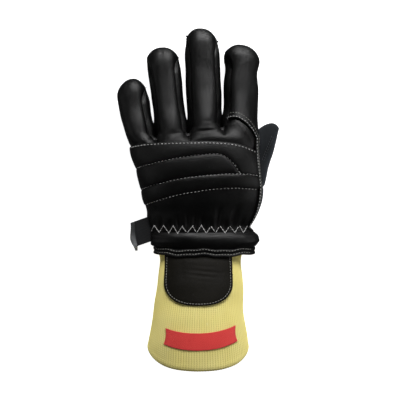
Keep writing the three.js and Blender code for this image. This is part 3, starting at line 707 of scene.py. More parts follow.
gussets = ["fourchette_1", "fourchette_2", "fourchette_3"]
skins = ["back_panel", "index_back", "palm_panel", "thumb", *gussets]
over_seam = seam_points("index_back", ["back_panel"])
lapped = {"index_back": "back_panel", "back_panel": "index_back"}
all_seams = np.concatenate([
    seam_points(name, [other for other in skins if other != lapped.get(name)]) for name in skins
])
tips = np.concatenate([stall_back(f, steps(40, -1, 1), 1.0) for f in fingers])
crotches = np.array([gusset(f, -1.0, 0.0, 0.5) for f in fingers[1:]])
top_line = back_at(steps(200), along(stitch_lines["top"], "at", steps(200)))
gusset_seams = np.concatenate([seam_points(name, ["back_panel", "index_back"])
                               for name in gussets])


# A seam sinks, and the leather beside it stands up as an edge. A gusset's upper seam sinks
# more and more broadly. Nothing sinks at the tips: all of it fades in between two distances
# from them.
lump_height, seam_depth, seam_width = 0.35, 1.2, 1.2
edge_height, edge_place, edge_width = 0.5, 2.8, 1.3
gusset_depth, gusset_width, tip_fade = 3.3, 4, (4, 16)


def soft(points):
    """What every panel shares, so that they meet: soft lumps where the leather is off the
    table, and a roll inwards at each seam that fades before the fingertips. A gusset's
    upper seam is drawn in further, so that the gusset swells past it."""
    seam = distance_to(points, all_seams)
    free = 1 - near(np.maximum(points[:, 2], 0), 1.5)
    roll = seam_depth * near(seam, seam_width)
    roll = roll - edge_height * near(seam - edge_place, edge_width)
    roll = roll + gusset_depth * near(distance_to(points, gusset_seams), gusset_width)
    roll = roll * smoothstep(distance_to(points, tips), *tip_fade)
    return (lump_height * lumps(points) - roll) * free, seam


def upward(normals, seam):
    """1 where leather looks up, 0 where it looks sideways or lies at a seam."""
    return np.clip(normals[:, 2], 0, 1) * smoothstep(seam, 0.3, 3)


def back_height(points, normals):
    """Ducks under the index piece and the knuckle band, creases and puckers."""
    height, seam = soft(points)
    duck = -0.8 * near(distance_to(points, over_seam), 2.5)
    lip = -1.0 * near(distance_to(points * [1, 1, 0], top_line * [1, 1, 0]) - 2, 2.4)
    creases = (dent_depth(points) + pucker_depth(points)) * upward(normals, seam)
    return height + duck + lip - creases


def index_height(points, normals):
    """Lies over the back panel with a raised edge."""
    height, seam = soft(points)
    lap = 0.9 * near(distance_to(points, over_seam), 4)
    return height + lap - dent_depth(points) * upward(normals, seam)


def gusset_height(points, normals):
    """Swells near the crotch until its two sides touch."""
    height, seam = soft(points)
    crotch = distance_to(points, crotches)
    return height + 1.25 * (1 - smoothstep(crotch, 9, 21)) * smoothstep(seam, 0.5, 3)


def palm_height(points, normals):
    """Only what every panel shares."""
    return soft(points)[0]


shapes = {
    "back_panel": back_height, "index_back": index_height, "palm_panel": palm_height,
    "thumb": palm_height, **{name: gusset_height for name in gussets},
}
meshes = {panel: shape(panel, height) for panel, height in shapes.items()}
print("shaped:", {panel: len(points) for panel, (points, _) in meshes.items()})

# %% [markdown]
# ## Making objects
#
# A mesh is made from points and faces at once. A leather panel then gets its wall from a
# Solidify modifier, which keeps the outer face where it is.


# %% Objects from arrays
def make_object(name, points, faces, run=None, edge=None):
    """An object of these points, in millimetres, and faces. Corners that fall together
    are dropped, so that a grid's collapsed edge leaves triangles. run holds two flat
    coordinates for each corner of each face, and edge a mask for each point."""
    loops = []
    for face in faces if isinstance(faces, list) else faces.tolist():
        corners = [c for i, c in enumerate(face) if c != face[i - 1]]
        if len(set(corners)) >= 3:
            loops.append(corners)
    mesh = bpy.data.meshes.new(name)
    mesh.from_pydata((np.asarray(points) * MM).tolist(), [], loops)
    mesh.polygons.foreach_set("use_smooth", [True] * len(mesh.polygons))
    if run is not None:
        mesh.uv_layers.new(name="run").data.foreach_set("uv", np.asarray(run, float).ravel())
    if edge is not None:
        mesh.attributes.new("edge", "FLOAT", "POINT").data.foreach_set("value", edge.ravel())
    mesh.update()
    made = add_object(name, mesh)
    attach(made, "root")
    return made


def add_wall(piece, thickness):
    """Gives a sheet its wall, inwards from its outer face."""
    wall = piece.modifiers.new("wall", "SOLIDIFY")
    wall.thickness = thickness * MM
    wall.offset = -1
    wall.use_even_offset = False
    return piece


pieces = {}
for panel, (points, faces) in meshes.items():
    piece = make_object(panel + "_skin", points, faces)
    add_wall(piece, leather_wall)
    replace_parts(piece, panel)
    pieces[panel] = piece
print("panels:", sorted(pieces))


# %% [markdown]
# ## Quilted bands over the knuckles
#
# Padding under the leather is held by the rows of stitching. Between two rows it stands up
# as a low pillow, and at each row it sinks. The upper edge is a cut edge, a little past its
# row, which casts the dark line towards the fingers.

# %% The bands
def grid_normals(points):
    """Outward directions of a grid, from the cross of its two running directions."""
    return unit(np.cross(np.gradient(points, axis=1), np.gradient(points, axis=0)))


def grid_faces(rows, columns, closed=False):
    """Faces of a grid of points, its last column joined to its first if closed."""
    ids = np.arange(rows * columns).reshape(rows, columns)
    if closed:
        ids = np.concatenate([ids, ids[:, :1]], axis=1)
    return quads(ids, False)


def flat_run(rows, columns, wide, long, closed=False):
    """Flat coordinates of a grid's faces, 0 to wide across it and 0 to long down it."""
    u, v = np.arange(columns + closed), np.arange(rows)
    grid = stack(u[None, :] * wide / (len(u) - 1), v[:, None] * long / (rows - 1))
    return np.stack(four_corners(grid), axis=2).reshape(-1, 2)


def sheet_object(name, grid, wall, closed=False, run=None, edge=None):
    """A walled sheet from a grid of points. run is how far its flat coordinates go."""
    rows, columns = grid.shape[:2]
    flat = None if run is None else flat_run(rows, columns, *run, closed)
    faces = grid_faces(rows, columns, closed)
    return add_wall(make_object(name, grid.reshape(-1, 3), faces, flat, edge), wall)


band_end = hand_place(index, shoulder) - 0.006
# A pillow rises steeply from its stitches, and is full where two rows are 9 mm or more
# apart. Its columns crowd towards the little finger's side.
pillow_power, full_span, side_crowding, quilt_wall, quilt_padding = 0.42, 9, 1.7, 1.2, 0.6
sewn_leather = []


def grid_lumps(grid, scale=1.0):
    """The soft lumps at the points of a grid."""
    return lumps(grid.reshape(-1, 3), scale).reshape(grid.shape[:2])


def sew_through(grid, closed=False):
    """Keeps a grid as leather that stitches can be dropped on."""
    sewn_leather.append((grid.reshape(-1, 3), grid_faces(*grid.shape[:2], closed)))


def band(name, lower, upper, start, end, rises):
    """One quilted band: the back of the hand, lifted by a pillow between two lines. rises
    are its heights at its lower edge, in its middle and at its upper edge. The pillow's
    form is (4t(1 − t))^0.42."""
    places = lerp(start, end, steps(241) ** side_crowding)
    low, high, rows = lower(places), upper(places), steps(29)[:, None]
    grid = back_at(places[None, :], lerp(low[None, :], high[None, :], rows))
    span = (high - low) * hand_length
    pillow = (4 * rows * (1 - rows)) ** pillow_power * np.minimum(1, span / full_span)
    height = lerp(rises[0], rises[2], rows) + rises[1] * pillow
    height = height + 0.25 * grid_lumps(grid) * pillow
    grid = grid + grid_normals(grid) * height[..., None]
    piece = sheet_object(name + "_quilt", grid, quilt_wall)
    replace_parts(piece, name)
    sew_through(grid)
    pieces[name] = piece


def line_at(name):
    """A stitch line as a function of the place across the hand."""
    return lambda places: along(stitch_lines[name], "at", places)


def under_top(places):
    """The lower edge of the top band: the lobe's line, then the middle line."""
    lobe = line_at("lobe")(np.minimum(places, lobe_tip))
    return np.where(places < lobe_tip, lobe, line_at("middle")(places))


# The cut edge stands this far past its row, as a share of the hand's length.
top_past = 1.8 / hand_length
band("knuckle_band", under_top, lambda p: line_at("top")(p) + top_past,
     band_start, band_end, (0.35, 1.5, 0.6))
band("knuckle_lobe", line_at("middle"), line_at("lobe"), band_start, lobe_end + 0.012,
     (0.35, 1.6, 0.35))
band("wrist_band", line_at("bottom"), line_at("middle"), band_start, band_end,
     (0.1, 1.4, 0.35))
print("bands:", [n for n in pieces if "band" in n or "lobe" in n])

# %% [markdown]
# ## Cuff, binding and knit
#
# Below the elastic the leather bulges into a soft cuff, and its hem is bound with a strip
# stitched twice. The wristlet is a tube of rib knit tucked up inside. Its ribs are real
# ridges of one yarn's width, evenly spaced round the tube.

# %% Rings round the wrist
wrist = {name: column[0] for name, column in hand_sections.items()}
cuff_top = -heel_distance - seam_gap


def ring_point(left, right, top, side, floor, rest, power, turn, y):
    """A section of the wrist: an arch above its sides (turn 0 to 0.5), flat below them."""
    upper = turn < 0.5
    angle = np.where(upper, 2 * turn - 0.5, 1.5 - 2 * turn) * np.pi
    across = arch_place(angle)
    x = lerp(left, right, (across + 1) / 2)
    below = floor + (side - floor) * (1 - np.minimum(1, rest * arch(across)))
    return stack(x, y, np.where(upper, side + (top - side) * arch(across, power), below))


def cuff_point(turn, share):
    """The cuff: the wrist's section, let out by the bulge that the table gives."""
    out = along(cuff_sections, "out", share) * cuff_bulge
    tucked = cuff_tuck * smoothstep(share, 0.82, 1)
    return ring_point(wrist["left"] * knuckle_breadth + 0.1 * out + tucked,
                      wrist["right"] * knuckle_breadth + out,
                      wrist["top"] * palm_thickness + 0.6 * out,
                      side_seam_height + 0.3 * out, 0, 1.5, 2.6, turn,
                      cuff_top - share * cuff_length)


knit_top = cuff_top - cuff_length + knit_tuck
knit_run = knit_tuck + seam_gap + binding_width + knit_length
knit_inside = 0.8 * binding_thickness + lay_clearance


def knit_point(turn, share):
    """The wristlet: narrow where it is tucked in, and wide and tall at its mouth. Its
    upper edge reaches hem_bow further out than its lower edge."""
    top = along(knit_sections, "top", share) * knit_mouth_height
    side = lerp(side_seam_height + knit_inside, 0.45 * top, smoothstep(share, 0.1, 0.4))
    floor = knit_inside * np.maximum(0, along(knit_sections, "floor", share))
    points = ring_point(*sides_of(knit_sections, knit_mouth_breadth, share), top, side, floor,
                        1.12, lerp(wrist_power, 2, share), turn, knit_top - share * knit_run)
    across = np.minimum(1, np.abs(points[..., 0]) / (0.49 * knit_mouth_breadth))
    points[..., 1] -= hem_bow * share**3 * points[..., 2] / knit_mouth_height
    points[..., 1] += hem_bow * share**3 * across**5
    return points


def run_along(line):
    """Distance run along a line of points, at each of them."""
    return np.concatenate([[0], np.cumsum(np.linalg.norm(np.diff(line, axis=0), axis=1))])


def read_at(places, run, values):
    """Values along a line, read at these distances along it."""
    return np.stack([np.interp(places, run, column) for column in values.T], axis=-1)


def even_round(points, count):
    """Resamples each ring of a closed grid at evenly spaced places round it."""
    rings = []
    for ring in points:
        loop = np.concatenate([ring, ring[:1]])
        run = run_along(loop)
        rings.append(read_at(np.arange(count) / count * run[-1], run, loop))
    return np.array(rings)


# %% The cuff
def ring_normals(grid):
    """Outward directions of a closed grid."""
    return grid_normals(np.concatenate([grid[:, -1:], grid, grid[:, :1]], axis=1))[:, 1:-1]


def raised(grid, normals, height):
    """A grid moved along its outward directions, but never below the table."""
    grid = grid + normals * height[..., None]
    grid[..., 2] = np.maximum(grid[..., 2], 0)
    return grid


turns = steps(361)[:-1]
cuff_rows = steps(45, 1.12, -0.06)[:, None]
cuff_grid = cuff_point(turns[None, :], cuff_rows)
cuff_normals = ring_normals(cuff_grid)
# Two shallow folds, 6.5 and 11 mm down, come and go round the cuff.
down = cuff_rows * cuff_length
fold = 0.6 * near(down - 6.5, 1.8) + 0.3 * near(down - 11, 1.5)
fold = fold * (0.5 + 0.5 * np.sin(turns * 14 + 1))
gathers = pucker_depth(cuff_grid.reshape(-1, 3)).reshape(cuff_grid.shape[:2])
at_join = -gathers * np.clip(cuff_normals[..., 2], 0, 1)
at_join = at_join + lump_height * grid_lumps(cuff_grid)
below = -fold - 0.12 * gathers + 0.45 * grid_lumps(cuff_grid, 0.7)
cuff_height = lerp(at_join, below, smoothstep(cuff_rows, 0.0, 0.24))
cuff_grid = raised(cuff_grid, cuff_normals, cuff_height)
pieces["cuff_band"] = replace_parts(sheet_object("cuff_leather", cuff_grid, leather_wall, True),
                                  "cuff_band")
sew_through(cuff_grid, True)
print("cuff:", cuff_grid.shape[:2], "points")

# %% The binding
binding_top = cuff_top - cuff_length - seam_gap
binding_profile = table("share along out", [
    [0, -0.1, -0.75], [0.1, -0.12, -0.1], [0.2, 0.02, 0.3], [0.35, 0.26, 0.36],
    [0.5, 0.46, 0.16], [0.62, 0.58, 0.14], [0.75, 0.78, 0.34], [0.88, 0.96, 0.22],
    [1, 1, -0.75],
])
sides = steps(33)[:, None]
hem = cuff_point(turns, 1.0)
outward = np.roll(hem, 1, axis=0) - np.roll(hem, -1, axis=0)
outward = unit(np.stack([outward[:, 2], np.zeros(len(hem)), -outward[:, 0]], -1))
# The hem isn't cut quite straight: it wanders by a long and a short wave.
wavy = 0.7 * np.sin(hem[:, 0] * 0.16 + 1.2) + 0.35 * np.sin(hem[:, 0] * 0.37)
out = along(binding_profile, "out", sides) * binding_thickness
binding_grid = raised(hem[None], outward[None], out)
binding_grid[..., 1] = binding_top + wavy - along(binding_profile, "along", sides) * binding_width
binding_grid = binding_grid[::-1]
sew_through(binding_grid, True)
pieces["cuff_binding"] = make_object("cuff_binding_strip", *sewn_leather[-1])
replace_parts(pieces["cuff_binding"], "cuff_binding")
print("binding:", binding_grid.shape[:2], "points")

# %% The knit wristlet
rib_count, rib_columns, knit_rows, rib_height, loop_length = 112, 6, 70, 0.2, 1.5
fine_turns = steps(2001)[:-1]
knit_shares = steps(knit_rows + 1, 1, 0)[:, None]
knit_grid = even_round(knit_point(fine_turns[None, :], knit_shares), rib_count * rib_columns)
knit_normals = ring_normals(knit_grid)
rib = np.cos(2 * np.pi * np.arange(rib_count * rib_columns) / rib_columns)[None, :]
hem_roll = near((1 - knit_shares) * knit_run - 2.5, 2.2)
loose = grid_lumps(knit_grid, 1.3)
knit_height = rib_height * rib * (1 - 0.4 * hem_roll) + 0.7 * hem_roll + 0.6 * loose - 0.35
far_side = knit_grid - knit_normals * knit_wall
knit_grid = raised(knit_grid, knit_normals, knit_height)
# The outer side, then the inner side back again, make one closed skin.
both_sides = np.concatenate([knit_grid, far_side[::-1]])
side_rows, side_columns = both_sides.shape[:2]
joined = grid_faces(side_rows + 1, side_columns, True) % (side_rows * side_columns)
sides_run = flat_run(side_rows + 1, side_columns, rib_count,
                     knit_run / loop_length * side_rows / knit_rows, True)
knit = make_object("rib_knit", both_sides.reshape(-1, 3), joined, sides_run)
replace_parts(knit, "knit_wristlet")
pieces["knit_wristlet"] = knit


print("knit:", len(knit.data.vertices), "points")


# %% Patch and label on the knit
def on_knit(x, share):
    """Points on the top of the knit at a distance from its middle line."""
    left, right = sides_of(knit_sections, knit_mouth_breadth, share)
    across = np.clip(2 * (x - left) / (right - left) - 1, -1, 1)
    angle = np.arcsin(np.abs(across) ** (arch_power / 2)) * np.sign(across)
    return knit_point((angle / np.pi + 0.5) / 2, share)


def knit_share(distance):
    """Share of the knit's run at a distance below the binding."""
    return (knit_tuck + seam_gap + binding_width + distance) / knit_run


def out_of_knit(x, share, height):
    """Points that stand a height off the top of the knit, along its own directions."""
    across = on_knit(x + 0.5, share) - on_knit(x - 0.5, share)
    along_it = on_knit(x, share - 0.04) - on_knit(x, share + 0.04)
    normal = unit(np.cross(across, along_it))
    return on_knit(x, share) + normal * np.asarray(height)[..., None]


patch_power = 2.6


def patch_place(across, row):
    """Where the patch lies on the knit: straight sides that round into a U, which is a
    superellipse of power 2.6."""
    depth = patch_length - patch_round + patch_round * arch(across, patch_power)
    return patch_breadth / 2 * across - patch_left, knit_share(patch_start + row * depth)


# Columns halfway between even ones and ones that crowd at the sides.
patch_across = lerp(np.sin(steps(91, -half_turn, half_turn)), steps(91, -1, 1), 0.5)[None, :]
patch_down = steps(61, 1, 0)[:, None]
patch_grid = on_knit(*patch_place(patch_across, patch_down))
bottom = np.sin(steps(160, -half_turn, half_turn))
patch_outline = np.concatenate([
    on_knit(*patch_place(-1.0, steps(40))), on_knit(*patch_place(bottom, 1.0)),
    on_knit(*patch_place(1.0, steps(40, 1, 0))),
])
patch_flat = patch_grid.reshape(-1, 3)
rim_distance = distance_to(patch_flat, patch_outline).reshape(patch_grid.shape[:2])
# Fine creases where the patch is drawn in, about 66 mm down from the origin.
drawn_in = near(patch_flat[:, 1] + 66, 5) * near(patch_flat[:, 0] - 3, 14)
drawn_in = drawn_in * np.sin(patch_flat[:, 1] * 1.5 + patch_flat[:, 0] * 0.14)
patch_height = (1.4 - 0.5 * near(rim_distance, 1) - 0.35 * near(rim_distance - 2.1, 0.8)
                + (0.45 * lumps(patch_flat) + 0.2 * drawn_in).reshape(patch_grid.shape[:2]))
patch_grid = out_of_knit(*patch_place(patch_across, patch_down), patch_height)
patch = sheet_object("pulse_leather", patch_grid, patch_wall)
pieces["pulse_patch"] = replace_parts(patch, "pulse_patch")
sew_through(patch_grid)


def label_place(across, row):
    """The label: a strip with hollow ends, bowed down in its middle and a little turned."""
    distance = knit_length - label_setback - label_length * row
    distance = distance + 2.1 * (1 - across**2) - 0.6 * across - 0.7
    half = label_breadth / 2 * (1 - 0.035 * np.sin(np.pi * row)) * lerp(1.02, 0.975, row)
    return 0.6 + half * across, knit_share(distance)


label_across, label_up = steps(81, -1, 1)[None, :], steps(25)[:, None]
label_grid = out_of_knit(*label_place(label_across, label_up), label_lift)
# Its finished edge is two rows or three columns of the grid.
label_edge = 1.0 - np.pad(np.ones((21, 75)), ((2, 2), (3, 3)))
label = sheet_object("red_label", label_grid, label_wall, False,
                     (label_breadth * MM, label_length * MM), label_edge)
pieces["label"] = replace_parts(label, "label")

# %% [markdown]
# ## Strap tab
#
# A folded loop of webbing stands out from the little finger side of the wrist. A pale
# strip along its fold is a painted highlight.

# %% The strap tab
tab_round = tab_thickness / 2
arc = steps(25, half_turn, 3 * half_turn)
run_in = steps(20, -3.4, tab_reach - tab_round)
outer_line = np.concatenate([
    np.stack([-run_in, tab_round + 0 * run_in], -1),
    np.stack([tab_round - tab_reach + tab_round * np.cos(arc), tab_round * np.sin(arc)], -1)[1:],
    np.stack([-run_in[::-1], -tab_round + 0 * run_in], -1)[1:],
])
tab_steps = steps(31)[None, :]
ahead, up = outer_line[:, None, 0], outer_line[:, None, 1]
aside = ahead * np.tan(tab_skew) - tab_steps * tab_width
c, s = np.cos(tab_turn), np.sin(tab_turn)
tab_x = wrist["left"] * knuckle_breadth - lay_clearance - 2.6
tab_at = np.array([tab_x, -heel_distance + 13, side_seam_height + 5])
tab_points = stack(ahead * c - aside * s, ahead * s + aside * c, up) + tab_at
# Row 31 of the line is the middle of the fold. The fold's two corners are drawn back, one
# also reaches down the wrist, and a groove runs across the upper side.
folded, fold_row = np.arange(len(outer_line))[:, None], 31
# Painted highlight: a pale strip over the upper half of the fold's round, strongest towards one
# side of the tab.
fold_highlight = smoothstep(folded, 17, 22) * (1 - smoothstep(folded, 33, 36))
fold_highlight = fold_highlight * (0.15 + 0.85 * smoothstep(tab_steps, 0.3, 1))
at_fold = near(folded - fold_row, 9)
tab_points[..., 0] += 2.4 * smoothstep(tab_steps, 0.7, 0) * at_fold
tab_points[..., 0] += 4.2 * smoothstep(tab_steps, 0.62, 1) * at_fold
tab_points[..., 1] -= 3.2 * near(folded - fold_row, 6) * smoothstep(tab_steps, 0.5, 1)
tab_points[..., 2] -= 0.6 * near(ahead + 11.5, 0.9) * (up > 0)
tab = sheet_object("webbing_tab", tab_points, tab_wall, False,
                   (tab_width * MM, 2 * tab_reach * MM), fold_highlight)
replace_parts(tab, "strap_tab")
pieces["strap_tab"] = tab

# %% [markdown]
# ## Stitching
#
# Each stitch is a short length of twisted thread whose ends dive into the leather. A line
# is drawn on the plan and dropped from above onto whatever leather is there, so that the
# stitches follow every pillow and pucker.

# %% Dropping lines onto the leather
for panel in ("back_panel", "index_back", "thumb", *gussets):
    sewn_leather.append(meshes[panel])
starts = np.cumsum([0] + [len(points) for points, _ in sewn_leather])
leather_tree = BVHTree.FromPolygons(
    np.concatenate([points for points, _ in sewn_leather]).tolist(),
    np.concatenate([faces + k for (_, faces), k in zip(sewn_leather, starts)]).tolist())


def dropped(plan):
    """Points and outward directions under plan points, looking straight down."""
    found, ways = [], []
    for x, y in plan:
        hit, normal, _, _ = leather_tree.ray_cast(Vector((x, y, 120)), Vector((0, 0, -1)))
        if hit is not None:
            found.append(hit)
            ways.append(normal if normal.z > 0 else -normal)
    return np.array(found), np.array(ways)


def spaced(points, extra, pitch):
    """Points and tangents every pitch along a line, with another array read there too."""
    run = run_along(points)
    places = np.arange(0, run[-1] - pitch / 2, pitch) + pitch / 2
    tangent = read_at(places + 0.4, run, points) - read_at(places - 0.4, run, points)
    return read_at(places, run, points), unit(tangent), read_at(places, run, extra)


def stitch_mesh(middles, tangents, normals, length, thick):
    """One small capsule for each stitch: six rings of six points. At s, from −1 to 1 along
    it, its middle stands (0.7 − 1.1|s|³) threads off the leather, so that its ends sink."""
    s = np.array([-1, -0.82, -0.35, 0.35, 0.82, 1])
    fat = np.array([0.35, 0.85, 1, 1, 0.85, 0.35])
    lift = 0.7 - 1.1 * np.abs(s) ** 3
    angle = np.arange(6) / 6 * 2 * np.pi
    normals = unit(normals)
    side = np.cross(tangents, normals)
    ring = (np.cos(angle)[None, :, None] * side[:, None, None, :]
            + np.sin(angle)[None, :, None] * normals[:, None, None, :])
    centre = (middles[:, None, :] + tangents[:, None, :] * (s * length / 2)[None, :, None]
              + normals[:, None, :] * (lift * thick)[None, :, None])
    points = centre[:, :, None, :] + ring * (fat * thick / 2)[None, :, None, None]
    caps = [[5, 4, 3, 2, 1, 0], [30, 31, 32, 33, 34, 35]]
    faces = [[c + start for c in face] for start in range(0, 36 * len(middles), 36)
             for face in grid_faces(6, 6, True).tolist() + caps]
    return points.reshape(-1, 3), faces


def sew(name, plans, pitch=2.7, length=1.8, thick=0.52, color="white"):
    """Rows of stitches along plan lines, as one object."""
    points, faces, start = [], [], 0
    for plan in plans:
        line, ways = dropped(plan)
        if len(line) < 3:
            continue
        made, corners = stitch_mesh(*spaced(line, ways, pitch), length, thick)
        points.append(made)
        faces += [[c + start for c in face] for face in corners]
        start += len(made)
    pieces[name] = make_object(name, np.concatenate(points), faces)
    pieces[name]["thread"] = color
    print(name, start // 36, "stitches")


# %% Rows of stitches
def offset_line(plan, distance):
    """A plan line moved sideways, to the right of the way it runs."""
    way = unit(np.gradient(plan, axis=0))
    return plan + np.stack([way[:, 1], -way[:, 0]], -1) * np.asarray(distance)[..., None]


row_start = 0.018
fine, lobe_fine = steps(240, row_start, band_end - 0.004), steps(220, row_start, 0.81)
rows_over = (("top", fine), ("middle", fine), ("bottom", fine), ("lobe", lobe_fine))
back_rows = [back_at(places, line_at(name)(places))[:, :2] for name, places in rows_over]
sew("stitches_back", back_rows, pitch=3.3, length=1.7, thick=0.5)

seam_row = rows_of(index["length"])[lap_row]
over_line = np.concatenate([
    stall_back(index, steps(60, -0.97, shoulder), seam_row),
    stall_back(index, shoulder, steps(12, seam_row, 0))[1:],
    hand_back(index, shoulder, steps(120, 1, 0.06))[1:],
])[:, :2]
way_share = steps(len(over_line))
sew("stitches_index", [offset_line(over_line, -1.2)], pitch=2.9, length=1.7, thick=0.5)
inner_gap = lerp(5, 2.9, smoothstep(way_share, 0.1, 0.5))
sew("stitches_inner", [offset_line(over_line, -inner_gap)], pitch=2.7, length=1.7, thick=0.42,
    color="grey")

zig_corners, zig_left, zig_right, zig_high, zig_low = 22, -46.1, 44.4, -23.5, -29.9
zig_x = steps(zig_corners, zig_left, zig_right) + rng.normal(0, 0.35, zig_corners)
zig_y = np.where(np.arange(zig_corners) % 2, zig_high, zig_low)
zig = np.stack([zig_x, zig_y + rng.normal(0, 0.25, zig_corners)], -1)
legs = [lerp(a, b, steps(24, 0.03, 0.97)[:, None]) for a, b in zip(zig[:-1], zig[1:])]
sew("stitches_zigzag", legs, pitch=3.0, length=2.8, thick=0.5)

hem_top = hem[: len(hem) // 2]
inside = np.abs(hem_top[:, 0] - 1) < 46
hem_plan = hem_top[inside]
wave_top = wavy[: len(hem) // 2][inside]
bind_rows = [np.stack([hem_plan[:, 0], binding_top + wave_top - share * binding_width], -1)
             for share in (0.1, 0.62)]
sew("stitches_binding", bind_rows, pitch=2.7, length=1.8, thick=0.38, color="grey")

patch_row = offset_line(patch_outline[3:-3, :2], -1.9)
sew("stitches_patch", [patch_row], pitch=2.5, length=1.8, thick=0.4, color="grey")

thumb_line = np.array([[70.5, 61], [67.5, 54], [64.5, 47], [60.5, 36]])
thumb_plan = read_at(steps(80, 0, 3), np.arange(4), thumb_line)
sew("stitches_thumb", [thumb_plan, offset_line(thumb_plan, 1.8)], pitch=2.6, length=2,
    thick=0.4, color="dark")

# %% [markdown]
# ## Materials
#
# Effects that more than one material uses are node groups with named sockets: the grain of
# leather, the soft wear that dulls it, lint that settles on it, and the twist of yarn. Each
# group gives heights or masks, and the shader that uses them stays in the material.


# %% Shader helpers
def feed(target, value):
    """Gives an input a value, or links another node's socket to it."""
    if isinstance(value, bpy.types.NodeSocket):
        target.id_data.links.new(value, target)
    else:
        target.default_value = value


def node(tree, kind, **settings):
    """Adds a node. A setting is a property of the node, or else feeds one of its inputs."""
    made = tree.nodes.new(kind)
    for key, value in settings.items():
        if hasattr(made, key):
            setattr(made, key, value)
        else:
            feed(made.inputs[key.replace("_", " ")], value)
    return made


def maths(operation, a, b=0.0):
    """A maths node on a socket and another socket or number. Gives its output socket."""
    made = node(a.id_data, "ShaderNodeMath", operation=operation)
    feed(made.inputs[0], a)
    feed(made.inputs[1], b)
    return made.outputs[0]


times, plus, minus, less = (partial(maths, name)
                            for name in ("MULTIPLY", "ADD", "SUBTRACT", "LESS_THAN"))
sine, cosine, size_of = (partial(maths, name) for name in ("SINE", "COSINE", "ABSOLUTE"))
fraction = partial(maths, "FRACT")


def ranged(value, low, high, to_low, to_high):
    """Maps a socket's values from one range to another, and holds them there."""
    return node(value.id_data, "ShaderNodeMapRange", Value=value, From_Min=low, From_Max=high,
                To_Min=to_low, To_Max=to_high).outputs[0]


def mixed(mask, a, b):
    """Mixes two colours, given as numbers or sockets, by a mask."""
    made = node(mask.id_data, "ShaderNodeMix", data_type="RGBA")
    for number, value in ((0, mask), (6, a), (7, b)):
        feed(made.inputs[number], (*value, 1) if isinstance(value, tuple) else value)
    return made.outputs[2]


def noise(vector, scale, detail=2.0, rough=0.5):
    """A noise texture's height."""
    return node(vector.id_data, "ShaderNodeTexNoise", Vector=vector, Scale=scale,
                Detail=detail, Roughness=rough).outputs[0]


def stretched(vector, scale):
    """The same coordinates, scaled by a different amount along each axis."""
    return node(vector.id_data, "ShaderNodeMapping", Vector=vector, Scale=scale).outputs[0]


def split_up(vector):
    """The x, y and z of coordinates."""
    return node(vector.id_data, "ShaderNodeSeparateXYZ", Vector=vector).outputs


def new_group(name, inputs, outputs):
    """An empty node group with named inputs, and their starting values, and outputs."""
    tree = bpy.data.node_groups.new(name, "ShaderNodeTree")
    tree.interface.new_socket("Vector", in_out="INPUT", socket_type="NodeSocketVector")
    for key, value in inputs.items():
        made = tree.interface.new_socket(key, in_out="INPUT", socket_type="NodeSocketFloat")
        made.default_value = value
    for key in outputs:
        tree.interface.new_socket(key, in_out="OUTPUT", socket_type="NodeSocketFloat")
    start, end = tree.nodes.new("NodeGroupInput"), tree.nodes.new("NodeGroupOutput")
    return tree, start.outputs, end.inputs


def use_group(group, vector, **values):
    """Puts a group in a material, with its coordinates and any other values."""
    return node(vector.id_data, "ShaderNodeGroup", node_tree=group, Vector=vector,
                **values).outputs


# %% [markdown]
# ### Effects
#
# Tanned hide has small flat pebbles with fine creases between them, and pores in the
# creases. The pebbles are Voronoi cells in coordinates that a noise has bent, so that none
# is regular. Wear is two clouds, one broad and one fine. Lint is a few cells picked at
# random from a dense Voronoi pattern.

# %% Node groups
grain, ins, outs = new_group("leather_grain", {"Pebbles": 900.0}, ["Height", "Crease"])
bend = node(grain, "ShaderNodeTexNoise", Vector=ins["Vector"], Scale=350, Detail=2)
shift = node(grain, "ShaderNodeVectorMath", operation="MULTIPLY_ADD")
for number, value in enumerate((bend.outputs["Color"], (0.0012, 0.0012, 0.0012), ins["Vector"])):
    feed(shift.inputs[number], value)
cells = node(grain, "ShaderNodeTexVoronoi", feature="DISTANCE_TO_EDGE",
             Vector=shift.outputs[0], Scale=ins["Pebbles"])
crease = ranged(cells.outputs["Distance"], 0, 0.16, 1, 0)
feed(outs["Height"], minus(times(noise(ins["Vector"], 2600, 1), 0.35), crease))
feed(outs["Crease"], crease)

wear, ins, outs = new_group("soft_wear", {"Broad": 28.0}, ["Mask", "Fine"])
feed(outs["Mask"], ranged(noise(ins["Vector"], ins["Broad"], 3, 0.55), 0.38, 0.66, 0, 1))
feed(outs["Fine"], ranged(noise(ins["Vector"], 420, 4, 0.65), 0.35, 0.7, 0, 1))

lint, ins, outs = new_group("lint", {"Specks": 500.0, "Amount": 0.04}, ["Mask"])
flecks = node(lint, "ShaderNodeTexVoronoi", Vector=stretched(ins["Vector"], (1, 0.45, 1)),
              Scale=ins["Specks"])
chosen = node(lint, "ShaderNodeSeparateColor", Color=flecks.outputs["Color"])
small = ranged(flecks.outputs["Distance"], 0.1, 0.28, 1, 0)
feed(outs["Mask"], times(less(chosen.outputs[0], ins["Amount"]), small))

weave, ins, outs = new_group("plain_weave", {"Threads": 1700.0}, ["Height", "Gap"])
warp, weft = (sine(times(axis, ins["Threads"])) for axis in split_up(ins["Vector"])[:2])
over = times(warp, weft)
feed(outs["Height"], over)
feed(outs["Gap"], ranged(over, -0.2, -0.9, 0, 1))

twist, ins, outs = new_group("yarn_twist", {"Turns": 5200.0}, ["Height"])
axes = split_up(ins["Vector"])
feed(outs["Height"], sine(times(plus(axes[0], times(axes[1], 0.8)), ins["Turns"])))
print("groups:", [g.name for g in bpy.data.node_groups])


# %% Leather and suede
def new_material(name, **settings):
    """A material with its Principled shader, set so, and the object's own coordinates."""
    material = bpy.data.materials.new(name)
    material.use_nodes = True
    tree = material.node_tree
    tree.nodes.clear()
    shader = node(tree, "ShaderNodeBsdfPrincipled", **settings)
    node(tree, "ShaderNodeOutputMaterial", Surface=shader.outputs[0])
    return material, shader, node(tree, "ShaderNodeTexCoord").outputs["Object"]


